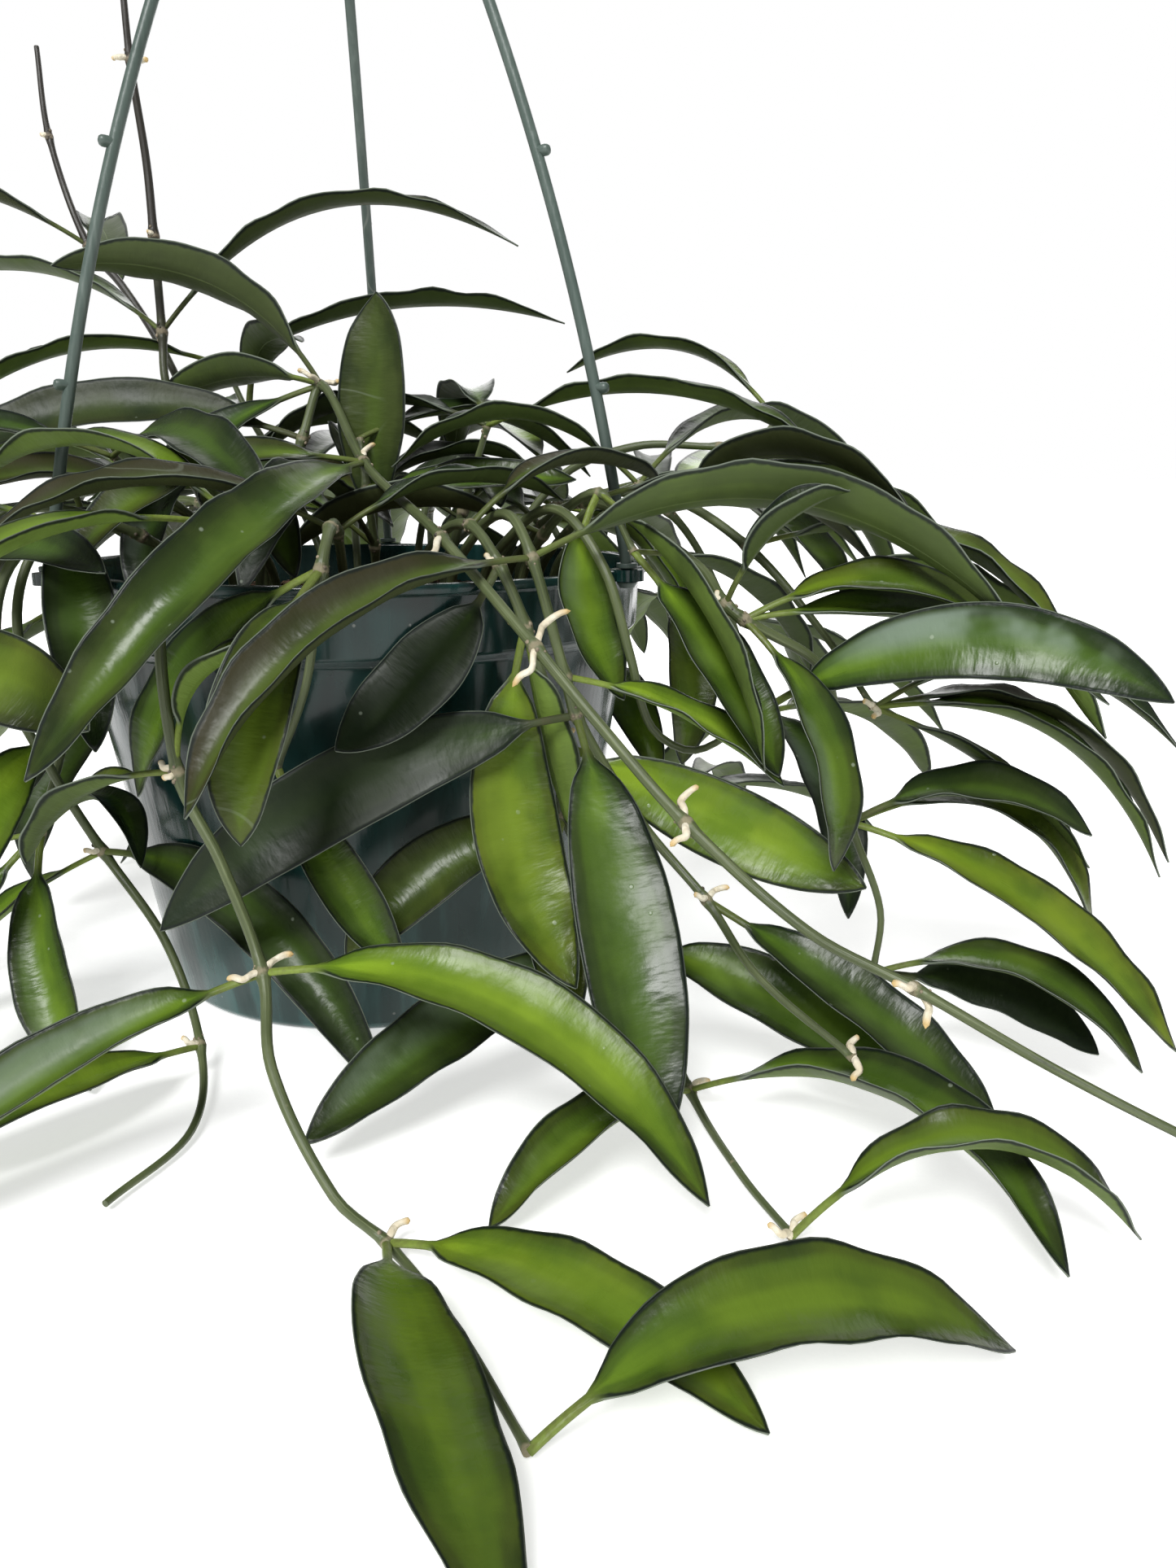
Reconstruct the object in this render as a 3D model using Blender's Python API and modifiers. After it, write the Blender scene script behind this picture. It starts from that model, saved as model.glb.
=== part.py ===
"""A trailing hoya with long, leathery, channelled leaves, growing in a plastic hanging basket.

The basket stands on its flat base, so its stems trail over the rim and lie along the surface.
Everything is in metres with +Z up, and the origin is the middle of the basket's underside.
The growing plan is in millimetres, measured from that origin, with the front towards -Y.
"""

import math
import random
from collections import namedtuple

import bmesh
import bpy
from mathutils import Matrix, Vector
from mathutils.bvhtree import BVHTree

MM = 0.001
WELD_DISTANCE = 0.01 * MM
AXIS_DISTANCE = 0.05 * MM

# Basket
BASKET_HEIGHT = 145 * MM
LIP_RADIUS = 101 * MM
LIP_THICKNESS = 3 * MM
LIP_CUT = 1 * MM
BAND_RADIUS = 97.5 * MM
BAND_DRAFT = 0.8 * MM
BAND_FOOT = 124 * MM
WALL_TOP_RADIUS = 93.5 * MM
BASE_RADIUS = 75 * MM
WALL = 1.8 * MM
FLOOR = 2.2 * MM
STEP_RISE = 2.5 * MM
STEP_INSIDE = 0.6 * MM
EDGE_CUT = 2 * MM
BASKET_SIDES = 32
DRAIN_HOLES = 5
DRAIN_RADIUS = 3.5 * MM
DRAIN_CIRCLE = 48 * MM

# Ears on the lip, which the hanger's legs clip through
EAR_CIRCLE = 102 * MM
EAR_RADIUS = 5.5 * MM
EAR_HOLE_RADIUS = 2.1 * MM
EAR_ANGLES = (90, 210, 330)
EAR_LOW = BASKET_HEIGHT - LIP_THICKNESS - 0.3 * MM
EAR_TOP = BASKET_HEIGHT + 0.3 * MM
EAR_SIDES = 10
HOLE_SIDES = 8

# Hanger
HUB_HEIGHT = 423 * MM
HUB_RADIUS = 6 * MM
HUB_LENGTH = 10 * MM
LEG_RADIUS = 2 * MM
LEG_TOP_RADIUS = 3 * MM
LEG_BOW = 16 * MM
LEG_FOOT_BOW = 3.2 * MM
LEG_STEPS = 8
NECK_RADIUS = 1.6 * MM
BUTTON_RADIUS = 3.2 * MM
BUTTON_LENGTH = 2 * MM
COLLAR_RADIUS = 3.4 * MM
COLLAR_HEIGHT = 1.6 * MM
PEG_RADIUS = 1.6 * MM
PEG_REACH = 4.5 * MM
PEG_HEIGHTS = (200 * MM, 268 * MM)
HOOK_RADIUS = 18 * MM
HOOK_WIRE = 2.7 * MM
HOOK_CENTRE = 466 * MM
HOOK_SHANK = 12 * MM
HOOK_FROM = -64
HOOK_TO = 205
HOOK_STEPS = 12

# Growing mix
SOIL_TOP = 129 * MM
SOIL_CROWN = 4 * MM
SOIL_ROUGHNESS = 1.6 * MM
SOIL_SIDES = 20
SOIL_RINGS = (0.36, 0.72)
GAP = 0.3 * MM
HOLE_DEPTH = 14 * MM

# Stems, in millimetres as the plan is
STEM_RADIUS = 1.6
TIP_RADIUS = 1.0
NODE_SWELL = 1.3
STEM_STEP = 30
STEM_TAPER_FROM = 0.6
STEM_HOLE_CLEARANCE = 0.4
STEM_HOLE_SIDES = 5
STEM_HOLE_TOP = 12

# Leaves, in millimetres and degrees
PETIOLE = 12
PETIOLE_SHARE = 0.2
PETIOLE_RADIUS = 1.15
BLADE_THICKNESS = 1.7
TIP_THICKNESS = 0.8
THIN_FROM = 0.6
BLADE_STATIONS = (0.0, 0.13, 0.34, 0.56, 0.77, 0.92)
SIDE_STATIONS = (0.0, 0.22, 0.58, 0.87)
SHORT_LEAF = 82
BLADE_ROUNDNESS = 0.62
FOLD = 24
WAVE_HEIGHT = 0.9
WAVE_LENGTH = 27
REST_HEIGHT = 0.3
OWN_FIRST = 4
CLEAR_SIDE = 0.9
CLEAR_ABOVE = 1.0
BEND_STEPS = (0, 3, -3, 6, -6, 9, -9, 12, -12, 16, -16, 20, -20, 25, -25, 30, -30, 36, -36)
BEND_WAY = Vector((0.08, -0.95, 0.28))
TURNS = (0, 12, -12, 24, -24, 36, -36)
TURN_EASE = 3.0

# Roots that grow from the stems into the air
ROOT_RADIUS = 0.95
ROOT_BEND = 0.35
ROOT_TIP = 0.7

LEAF_GREEN = (0.045, 0.115, 0.022, 1.0)
DARK_GREEN = (0.020, 0.058, 0.020, 1.0)
BASKET_GREEN = (0.012, 0.055, 0.058, 1.0)
HANGER_GREEN = (0.110, 0.190, 0.170, 1.0)
SOIL_BROWN = (0.050, 0.032, 0.020, 1.0)

Leaf = namedtuple(
    "Leaf",
    "node heading pitch reach arch sway width roll fold stations",
    defaults=(22, 0, FOLD, BLADE_STATIONS),
)
Root = namedtuple("Root", "node heading pitch length")
Vine = namedtuple("Vine", "name hole route leaves roots")

# The growing plan: each stem's hole in the mix, the points that it passes after it, and its leaves.
# A leaf is given by the point that it grows from, the heading, pitch and reach from there to its tip,
# how far its middle stands over that line and to its left, and the width of its blade.
PLAN = [
    Vine(
        "stem_whip_long",
        (-34, -12),
        [
            (-26, -4, 165), (-18, -2, 186), (-12, 7, 204), (5, -27, 178), (32, -86, 157),
            (57, -123, 131), (73, -140, 113), (91, -159, 94), (117, -178, 73), (138, -190, 64),
            (163, -205, 52), (185, -218, 43), (212, -232, 33),
        ],
        [
            Leaf(1, 184, -6, 128, 16, -7, 22, -50),
            Leaf(2, 169, 23, 102, 16, -10, 20, 50),
            Leaf(2, 233, -40, 109, 12, -17, 20, -15),
            Leaf(2, 151, -4, 74, 7, -2, 18, 35),
            Leaf(3, 231, -34, 145, 18, 21, 25, -25, 30),
            Leaf(3, 215, -17, 99, 13, -8, 20, -30),
        ],
        [
            Root(2, 200, 30, 9), Root(2, 330, 5, 8), Root(3, 60, 40, 9), Root(4, 225, -30, 15),
            Root(4, 40, 10, 14), Root(5, 40, 35, 15), Root(5, 215, -50, 12), Root(7, 60, 40, 11),
            Root(7, 230, -30, 8), Root(9, 200, 20, 7), Root(9, 290, -60, 9),
        ],
    ),
    Vine(
        "stem_trail_front_left",
        (-22, -44),
        [
            (-26, -66, 158), (-33, -92, 162), (-38, -116, 146), (-37, -120, 99), (-26, -128, 77),
            (-15, -139, 50), (-10, -160, 34), (7, -183, 13), (19, -187, 3), (36, -216, 2.5),
            (50, -248, 2.5),
        ],
        [
            Leaf(3, 356, 45, 46, 12, 2, 14, 0, 35),
            Leaf(3, 160, -30, 60, 8, 0, 15, 0, 35),
            Leaf(5, 336, -19, 126, 18, 9, 23, 25),
            Leaf(5, 207, -24, 112, 6, -4, 23, -20, 38),
            Leaf(8, 286, 0, 105, 11, -5, 25, -20, 16),
            Leaf(8, 321, 0, 97, 9, 2, 20, 10, 20),
            Leaf(10, 8, 2, 98, 17, 4, 25, 12, 20),
        ],
        [
            Root(3, 150, 20, 6), Root(3, 200, -20, 4), Root(5, 20, 25, 9), Root(5, 190, -5, 9),
            Root(8, 30, 30, 7),
        ],
    ),
    Vine(
        "stem_trail_left_thin",
        (-48, -34),
        [
            (-62, -46, 156), (-80, -63, 160), (-93, -74, 146), (-99, -70, 118), (-92, -57, 82),
            (-83, -49, 55), (-60, -69, 31), (-44, -98, 9), (-38, -135, 3), (-51, -166, 2.5),
        ],
        [
            Leaf(5, 324, -24, 127, 20, 2, 21, 25),
            Leaf(5, 200, -40, 80, 8, 0, 18),
            Leaf(7, 222, -3, 100, 8, 6, 20, -10),
        ],
        [Root(5, 200, 10, 6), Root(7, 180, 30, 6)],
    ),
    Vine(
        "stem_trail_centre",
        (32, -46),
        [
            (42, -63, 158), (51, -80, 163), (57, -94, 152), (66, -97, 119), (69, -98, 108),
            (88, -100, 76), (105, -114, 57), (115, -137, 44), (134, -164, 33),
        ],
        [
            Leaf(2, 200, -35, 112, 14, -5, 22, -25, 40),
            Leaf(2, 344, -7, 130, 24, 14, 22, -40),
            Leaf(4, 189, -25, 129, 11, -1, 25, -65, 12),
            Leaf(4, 282, -52, 121, 5, 1, 27, 10, 12),
            Leaf(3, 350, -27, 68, 4, 8, 16, 15),
            Leaf(6, 325, -28, 95, 3, 0, 20, 25),
        ],
        [
            Root(4, 100, 30, 5), Root(6, 20, 20, 8), Root(6, 200, 30, 5), Root(8, 60, 40, 6),
            Root(8, 250, -40, 6),
        ],
    ),
    Vine(
        "stem_trail_middle",
        (20, -40),
        [
            (30, -56, 156), (40, -78, 160), (48, -93, 150), (55, -93, 133), (65, -88, 98),
            (66, -86, 75), (84, -96, 39), (99, -128, 5), (106, -167, 3), (113, -191, 2.5),
        ],
        [
            Leaf(2, 185, -48, 70, -5, -4, 23, -60, 10),
            Leaf(3, 288, -67, 103, -10, -8, 26, 10, 14),
            Leaf(3, 9, -79, 61, 0, 5, 18, -25),
            Leaf(4, 337, -21, 98, -2, 4, 24, 60, 12),
            Leaf(5, 198, -29, 77, 8, -2, 23, -50),
            Leaf(5, 272, -55, 62, 0, -6, 20, -15),
            Leaf(6, 327, -16, 94, 1, 5, 24, 35),
            Leaf(6, 213, -16, 110, 3, -4, 23, -30),
            Leaf(7, 310, 0, 106, 17, 13, 22, 0, 36),
            Leaf(7, 225, -1, 80, 10, 2, 20, 0, 36),
            Leaf(9, 352, 2, 79, 26, -2, 18, 0, 36),
        ],
        [
            Root(2, 150, 30, 5), Root(3, 170, 10, 5), Root(4, 30, 30, 6), Root(7, 20, 10, 7),
            Root(9, 180, 30, 7), Root(9, 30, 40, 6),
        ],
    ),
    Vine(
        "stem_trail_right",
        (50, -20),
        [
            (62, -36, 158), (75, -53, 166), (88, -67, 161), (106, -85, 148), (111, -98, 139),
            (116, -100, 135), (139, -99, 121), (146, -95, 100), (151, -97, 74), (159, -105, 49),
            (157, -108, 30),
        ],
        [
            Leaf(4, 356, 44, 40, 6, 0, 16, 0, 45),
            Leaf(5, 343, -1, 70, 11, 5, 18, 25),
            Leaf(5, 346, -12, 101, 11, 6, 20, 20),
            Leaf(5, 303, -60, 74, 8, 4, 19),
            Leaf(5, 356, -18, 111, 26, 15, 20, -30),
            Leaf(8, 334, 3, 66, 11, 3, 20, 20),
            Leaf(8, 345, -23, 78, 22, 8, 18, 25),
            Leaf(8, 330, -30, 108, 9, 3, 21, 20),
            Leaf(10, 327, -10, 76, 14, 6, 19, 10),
            Leaf(10, 337, -14, 66, 2, 10, 20, 25),
        ],
        [Root(4, 120, 40, 5), Root(8, 200, 10, 5)],
    ),
    Vine(
        "stem_side_right",
        (42, -33),
        [
            (54, -52, 158), (66, -71, 164), (78, -86, 148), (85, -91, 124), (92, -89, 102), (105, -89, 95),
            (121, -97, 107),
        ],
        [
            Leaf(6, 340, 4, 98, 17, 3, 21, 60, 14),
            Leaf(6, 30, -20, 90, 12, 0, 20),
        ],
        [],
    ),
    Vine(
        "stem_far_right",
        (67, 0),
        [(84, -10, 160), (103, -27, 167), (127, -50, 152), (148, -70, 126), (160, -84, 106)],
        [
            Leaf(4, 330, -32, 78, 6, 3, 18),
            Leaf(4, 343, -29, 98, 19, 9, 19),
            Leaf(4, 352, -27, 104, 22, 12, 18),
            Leaf(4, 345, -6, 100, 21, 6, 20),
            Leaf(2, 322, -20, 104, 20, 4, 20),
        ],
        [Root(4, 250, -20, 6), Root(4, 200, 30, 5)],
    ),
    Vine(
        "stem_rim_right",
        (55, -36),
        [(62, -50, 156), (78, -66, 169), (88, -72, 152)],
        [
            Leaf(1, 280, -56, 66, 3, -10, 21, -20),
            Leaf(1, 315, -54, 95, 7, 3, 20),
            Leaf(2, 322, -54, 78, 2, 0, 21, 25),
            Leaf(2, 20, -30, 80, 12, 0, 20),
        ],
        [],
    ),
    Vine(
        "stem_whip_left_front",
        (-50, 20),
        [
            (-62, 28, 170), (-71, 33, 206), (-72, 38, 224), (-72, 38, 256), (-73, 41, 280),
            (-76, 43, 313), (-78, 49, 348), (-80, 52, 374),
        ],
        [
            Leaf(2, 161, 11, 105, 13, -4, 19),
            Leaf(2, 350, 12, 134, 29, 7, 20, 10),
        ],
        [Root(5, 180, 0, 6), Root(5, 0, 0, 6), Root(3, 230, 20, 3)],
    ),
    Vine(
        "stem_whip_left_back",
        (-42, 40),
        [(-58, 48, 175), (-78, 60, 220), (-93, 66, 244), (-105, 70, 258), (-119, 82, 298), (-123, 91, 331)],
        [Leaf(3, 194, 5, 100, 14, -2, 19), Leaf(3, 100, 0, 95, 16, 0, 19)],
        [Root(4, 180, 10, 3)],
    ),
    Vine(
        "stem_crown_back_left",
        (-18, 34),
        [(-30, 44, 168), (-46, 52, 196), (-54, 56, 214)],
        [
            Leaf(2, 358, 7, 130, 14, 4, 21),
            Leaf(2, 205, -14, 105, 16, 0, 20),
            Leaf(1, 300, 25, 62, 14, -2, 18),
            Leaf(1, 120, -14, 110, 18, 0, 20),
        ],
        [],
    ),
    Vine(
        "stem_crown_middle",
        (4, 2),
        [(5, -5, 150), (4, -13, 170), (2, -8, 186)],
        [
            Leaf(0, 65, 84, 84, 2, -1, 27, 0, 12),
            Leaf(1, 339, 2, 74, 1, -7, 16, 40),
            Leaf(0, 250, -6, 86, 26, 0, 20),
            Leaf(0, 190, 8, 90, 16, 0, 20),
        ],
        [],
    ),
    Vine(
        "stem_crown_front",
        (30, -8),
        [(36, -8, 162), (45, -11, 190)],
        [
            Leaf(1, 332, -6, 118, 16, 5, 21),
            Leaf(1, 150, -4, 95, 12, 0, 20),
            Leaf(0, 285, 10, 60, 14, 0, 18, 0, 36),
        ],
        [],
    ),
    Vine(
        "stem_crown_right",
        (61, -14),
        [(75, -26, 160), (93, -40, 171), (101, -46, 168)],
        [
            Leaf(1, 182, 4, 78, 18, -4, 20),
            Leaf(1, 20, 0, 90, 22, 8, 21),
            Leaf(2, 350, -12, 95, 16, 0, 20),
        ],
        [],
    ),
    Vine(
        "stem_shoot_right",
        (50, 20),
        [(70, 20, 172), (98, 15, 184), (128, 10, 184), (142, 9, 186), (149, 12, 193)],
        [
            Leaf(4, 154, 13, 84, 17, -4, 18),
            Leaf(4, 309, -45, 42, 8, 6, 14),
            Leaf(2, 15, -35, 95, 14, 0, 20),
        ],
        [],
    ),
    Vine(
        "stem_trail_left_far",
        (-66, -6),
        [
            (-86, -12, 160), (-112, -20, 162), (-137, -40, 137), (-131, -78, 119), (-128, -93, 98),
            (-124, -104, 60),
        ],
        [
            Leaf(2, 344, 2, 78, 9, 5, 20, 40),
            Leaf(2, 180, -12, 105, 18, 0, 20),
            Leaf(3, 333, -7, 80, 8, 1, 26, 60, 14),
            Leaf(3, 205, -25, 95, 14, 0, 21),
            Leaf(5, 250, -30, 80, 8, 0, 20),
            Leaf(5, 170, -20, 90, 10, 0, 20),
        ],
        [],
    ),
    Vine(
        "stem_trail_left_near",
        (-60, -18),
        [
            (-78, -30, 160), (-96, -40, 152), (-100, -52, 126), (-92, -46, 98), (-99, -56, 64),
            (-102, -62, 34),
        ],
        [
            Leaf(3, 245, -42, 100, 9, 1, 23, -35, 16),
            Leaf(4, 296, -46, 86, -4, -6, 20, 30),
            Leaf(4, 335, -10, 40, 16, 5, 14),
            Leaf(4, 262, -50, 66, 0, -14, 14),
            Leaf(4, 165, -40, 80, 12, 0, 20),
        ],
        [Root(4, 230, 20, 6)],
    ),
    Vine(
        "stem_rim_front",
        (0, -52),
        [(1, -70, 158), (2, -92, 160), (1, -106, 150), (-6, -99, 118), (-16, -96, 94)],
        [
            Leaf(2, 244, -58, 76, 10, 0, 22),
            Leaf(2, 186, -48, 80, 10, 0, 21, -40),
            Leaf(4, 312, -42, 74, 4, -6, 19, 10, 34),
        ],
        [],
    ),
    Vine(
        "stem_crown_left",
        (-46, 4),
        [(-56, 0, 158), (-70, -8, 172), (-78, -14, 180)],
        [
            Leaf(0, 214, -2, 96, 18, 0, 21, -20),
            Leaf(1, 150, -2, 104, 16, 0, 21),
            Leaf(1, 262, -22, 96, 18, 0, 21),
            Leaf(2, 196, -10, 112, 18, 0, 21, -30),
            Leaf(2, 318, -14, 84, 14, 0, 20, 30),
        ],
        [],
    ),
]

# The rest of the crown's leaves, placed after the plan's: the stem's name, then the leaf's node, heading,
# pitch, reach, arch and width
CROWN_LEAVES = [
    ("stem_rim_front", 0, 196, -2, 92, 14, 21),
    ("stem_rim_front", 0, 20, 6, 72, 10, 20),
    ("stem_rim_front", 1, 160, -6, 88, 16, 22),
    ("stem_trail_front_left", 0, 20, 10, 80, 16, 21),
    ("stem_trail_front_left", 0, 160, 8, 84, 15, 21),
    ("stem_trail_front_left", 1, 222, -22, 94, 14, 21),
    ("stem_trail_left_thin", 0, 130, 6, 86, 14, 20),
    ("stem_trail_left_thin", 0, 305, -12, 88, 18, 21),
    ("stem_trail_left_thin", 1, 205, -6, 92, 14, 21),
    ("stem_trail_left_thin", 1, 285, -32, 92, 14, 21),
    ("stem_trail_middle", 0, 60, 12, 84, 15, 20),
    ("stem_trail_right", 0, 130, 14, 86, 14, 21),
    ("stem_trail_right", 1, 348, -16, 88, 14, 20),
    ("stem_trail_right", 1, 262, -28, 84, 14, 21),
    ("stem_far_right", 1, 40, 4, 94, 16, 21),
    ("stem_far_right", 1, 315, -8, 86, 16, 20),
    ("stem_whip_left_front", 0, 205, 0, 98, 16, 22),
    ("stem_whip_left_front", 0, 325, -4, 92, 16, 21),
    ("stem_whip_left_back", 0, 20, 6, 92, 16, 21),
    ("stem_crown_left", 0, 300, -8, 92, 16, 21),
    ("stem_crown_middle", 2, 205, -4, 90, 16, 21),
    ("stem_crown_middle", 2, 20, -6, 88, 16, 21),
    ("stem_crown_front", 0, 200, -4, 88, 16, 21),
    ("stem_rim_right", 0, 178, -2, 84, 15, 20),
    ("stem_crown_front", 0, 60, 4, 84, 14, 21),
    ("stem_crown_front", 1, 100, -8, 90, 16, 21),
    ("stem_shoot_right", 0, 120, 6, 92, 16, 21),
    ("stem_shoot_right", 0, 215, 2, 80, 14, 20),
    ("stem_crown_middle", 1, 100, 4, 88, 16, 21),
    ("stem_crown_back_left", 0, 70, 6, 92, 16, 21),
    ("stem_trail_middle", 1, 24, 10, 66, 12, 18),
]

# The stems that the front view hides, spread by rule over the rest of the mix and rim
SIDE_STEMS = 8
SIDE_FROM = 0
SIDE_TO = 176
SIDE_HOLES = (46, 66)
SIDE_RIM = (84, 112)
SIDE_RIM_RISE = (14, 34)
SIDE_SWING = (118, 158)
SIDE_FALL = (10, 100)
SIDE_DROP = 22
SIDE_LEAF_REACH = (86, 122)
SIDE_LEAF_WIDTH = (19, 24)
LEAF_TRIES = 14
SEED = 27


def material(name, colour, roughness, alpha=1.0):
    """A plain plastic or leaf finish."""
    made = bpy.data.materials.new(name)
    made.use_nodes = True
    shader = made.node_tree.nodes["Principled BSDF"]
    shader.inputs["Base Color"].default_value = colour
    shader.inputs["Roughness"].default_value = roughness
    shader.inputs["Metallic"].default_value = 0.0
    shader.inputs["Alpha"].default_value = alpha
    return made


def link(name, mesh, collection):
    """A named object for this mesh, in this collection."""
    made = bpy.data.objects.new(name, mesh)
    collection.objects.link(made)
    return made


def evaluated_mesh(thing):
    """The object's mesh as its modifiers, or its curve, make it."""
    graph = bpy.context.evaluated_depsgraph_get()
    return bpy.data.meshes.new_from_object(thing.evaluated_get(graph))


def weld(mesh):
    """Joins the doubled points that a curve's caps or a turned profile's ends leave."""
    work = bmesh.new()
    work.from_mesh(mesh)
    bmesh.ops.remove_doubles(work, verts=work.verts, dist=WELD_DISTANCE)
    work.to_mesh(mesh)
    work.free()


def wire(points, radii, sides_step, collection, name="wire"):
    """A mesh tube with filled caps along these points, in metres, with a radius at each."""
    curve = bpy.data.curves.new(name, "CURVE")
    curve.dimensions = "3D"
    curve.bevel_depth = 1.0
    curve.bevel_resolution = sides_step
    curve.use_fill_caps = True
    spline = curve.splines.new("POLY")
    spline.points.add(len(points) - 1)
    for point, place, radius in zip(spline.points, points, radii):
        point.co = (*place, 1.0)
        point.radius = radius
    guide = link("guide", curve, collection)
    bpy.context.view_layer.update()
    mesh = evaluated_mesh(guide)
    weld(mesh)
    bpy.data.objects.remove(guide)
    bpy.data.curves.remove(curve)
    return link(name, mesh, collection)


def rod(radius, low, high, sides, collection, place=(0, 0)):
    """An upright cylinder between two heights."""
    mesh = bpy.data.meshes.new("rod")
    work = bmesh.new()
    at = Matrix.Translation((place[0], place[1], (low + high) / 2))
    bmesh.ops.create_cone(
        work, cap_ends=True, segments=sides, radius1=radius, radius2=radius, depth=high - low, matrix=at
    )
    work.to_mesh(mesh)
    work.free()
    return link("rod", mesh, collection)


def combine(base, others, operation):
    """Joins the others to the base, or cuts them from it, and removes them."""
    group = bpy.data.collections.new("operands")
    for other in others:
        group.objects.link(other)
    change = base.modifiers.new(operation.lower(), "BOOLEAN")
    change.operation = operation
    change.operand_type = "COLLECTION"
    change.collection = group
    change.solver = "EXACT"
    bpy.context.view_layer.update()
    mesh = evaluated_mesh(base)
    base.modifiers.remove(change)
    base.data = mesh
    for other in list(group.objects):
        bpy.data.objects.remove(other)
    bpy.data.collections.remove(group)


def loose_pieces(mesh):
    """The mesh's separate pieces, each as a set of point numbers."""
    joined = {}
    for edge in mesh.edges:
        joined.setdefault(edge.vertices[0], []).append(edge.vertices[1])
        joined.setdefault(edge.vertices[1], []).append(edge.vertices[0])
    found = []
    seen = set()
    for start in joined:
        if start in seen:
            continue
        piece = {start}
        waiting = [start]
        while waiting:
            for near in joined[waiting.pop()]:
                if near not in piece:
                    piece.add(near)
                    waiting.append(near)
        seen |= piece
        found.append(piece)
    return found


def keep_largest_piece(thing):
    """Drops any scrap that the union left beside the main body, and any hollow that it sealed inside."""
    pieces = loose_pieces(thing.data)
    if len(pieces) == 1:
        return
    kept = max(pieces, key=len)
    work = bmesh.new()
    work.from_mesh(thing.data)
    work.verts.ensure_lookup_table()
    scraps = [v for v in work.verts if v.index not in kept]
    bmesh.ops.delete(work, geom=scraps, context="VERTS")
    work.to_mesh(thing.data)
    work.free()


def around(radius, degrees):
    """The point at this radius and angle round the basket's axis."""
    angle = math.radians(degrees)
    return radius * math.cos(angle), radius * math.sin(angle)


def shade_round(thing, degrees=40):
    thing.data.shade_smooth()
    thing.data.set_sharp_from_angle(angle=math.radians(degrees))


def turned(name, profile, sides, collection):
    """A solid of revolution from an (r, z) profile that starts and ends on the axis."""
    mesh = bpy.data.meshes.new(name)
    points = [(r, 0, z) for r, z in profile]
    mesh.from_pydata(points, [(i, i + 1) for i in range(len(points) - 1)], [])
    made = link(name, mesh, collection)
    turn = made.modifiers.new("turn", "SCREW")
    turn.steps = sides
    turn.render_steps = sides
    turn.use_merge_vertices = True
    turn.merge_threshold = AXIS_DISTANCE
    bpy.context.view_layer.update()
    turned_mesh = evaluated_mesh(made)
    made.modifiers.remove(turn)
    made.data = turned_mesh
    return made


def basket_inner_radius(height):
    """The basket's inner radius at a height on its tapering wall or its band."""
    if height >= BAND_FOOT:
        return BAND_RADIUS - WALL - BAND_DRAFT
    share = (height - EDGE_CUT) / (BAND_FOOT - STEP_RISE - EDGE_CUT)
    return BASE_RADIUS + (WALL_TOP_RADIUS - BASE_RADIUS) * min(max(share, 0), 1) - WALL


def make_basket(collection):
    """The tapered basket with its stepped band, lip, drain holes and three pierced ears."""
    top = BASKET_HEIGHT
    band_low = BAND_RADIUS - BAND_DRAFT
    profile = [
        (0, FLOOR),
        (basket_inner_radius(FLOOR), FLOOR),
        (WALL_TOP_RADIUS - WALL, BAND_FOOT - STEP_RISE + STEP_INSIDE),
        (band_low - WALL, BAND_FOOT + STEP_INSIDE),
        (BAND_RADIUS - WALL, top),
        (LIP_RADIUS - LIP_CUT, top),
        (LIP_RADIUS, top - LIP_CUT),
        (LIP_RADIUS, top - LIP_THICKNESS),
        (BAND_RADIUS, top - LIP_THICKNESS),
        (band_low, BAND_FOOT),
        (WALL_TOP_RADIUS, BAND_FOOT - STEP_RISE),
        (BASE_RADIUS, EDGE_CUT),
        (BASE_RADIUS - EDGE_CUT, 0),
        (0, 0),
    ]
    basket = turned("basket", profile, BASKET_SIDES, collection)
    ears = []
    cuts = []
    for angle in EAR_ANGLES:
        place = around(EAR_CIRCLE, angle)
        ears.append(rod(EAR_RADIUS, EAR_LOW, EAR_TOP, EAR_SIDES, collection, place))
        low = top - 2 * LIP_THICKNESS
        cuts.append(rod(EAR_HOLE_RADIUS, low, top + LIP_THICKNESS, HOLE_SIDES, collection, place))
    combine(basket, ears, "UNION")
    for i in range(DRAIN_HOLES):
        place = around(DRAIN_CIRCLE, 360 * (i + 0.5) / DRAIN_HOLES)
        cuts.append(rod(DRAIN_RADIUS, -FLOOR, 2 * FLOOR, HOLE_SIDES, collection, place))
    combine(basket, cuts, "DIFFERENCE")
    shade_round(basket)
    return basket


def leg_point(angle, height):
    """A point on a hanger leg's centre line: it bows out between the ear and the hub."""
    share = (height - BASKET_HEIGHT) / (HUB_HEIGHT - BASKET_HEIGHT)
    reach = EAR_CIRCLE - LEG_FOOT_BOW
    radius = reach * (1 - share) + 4 * LEG_BOW * share * (1 - share) + LEG_FOOT_BOW * (1 - share) ** 4
    return Vector((*around(radius, angle), height))


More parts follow.
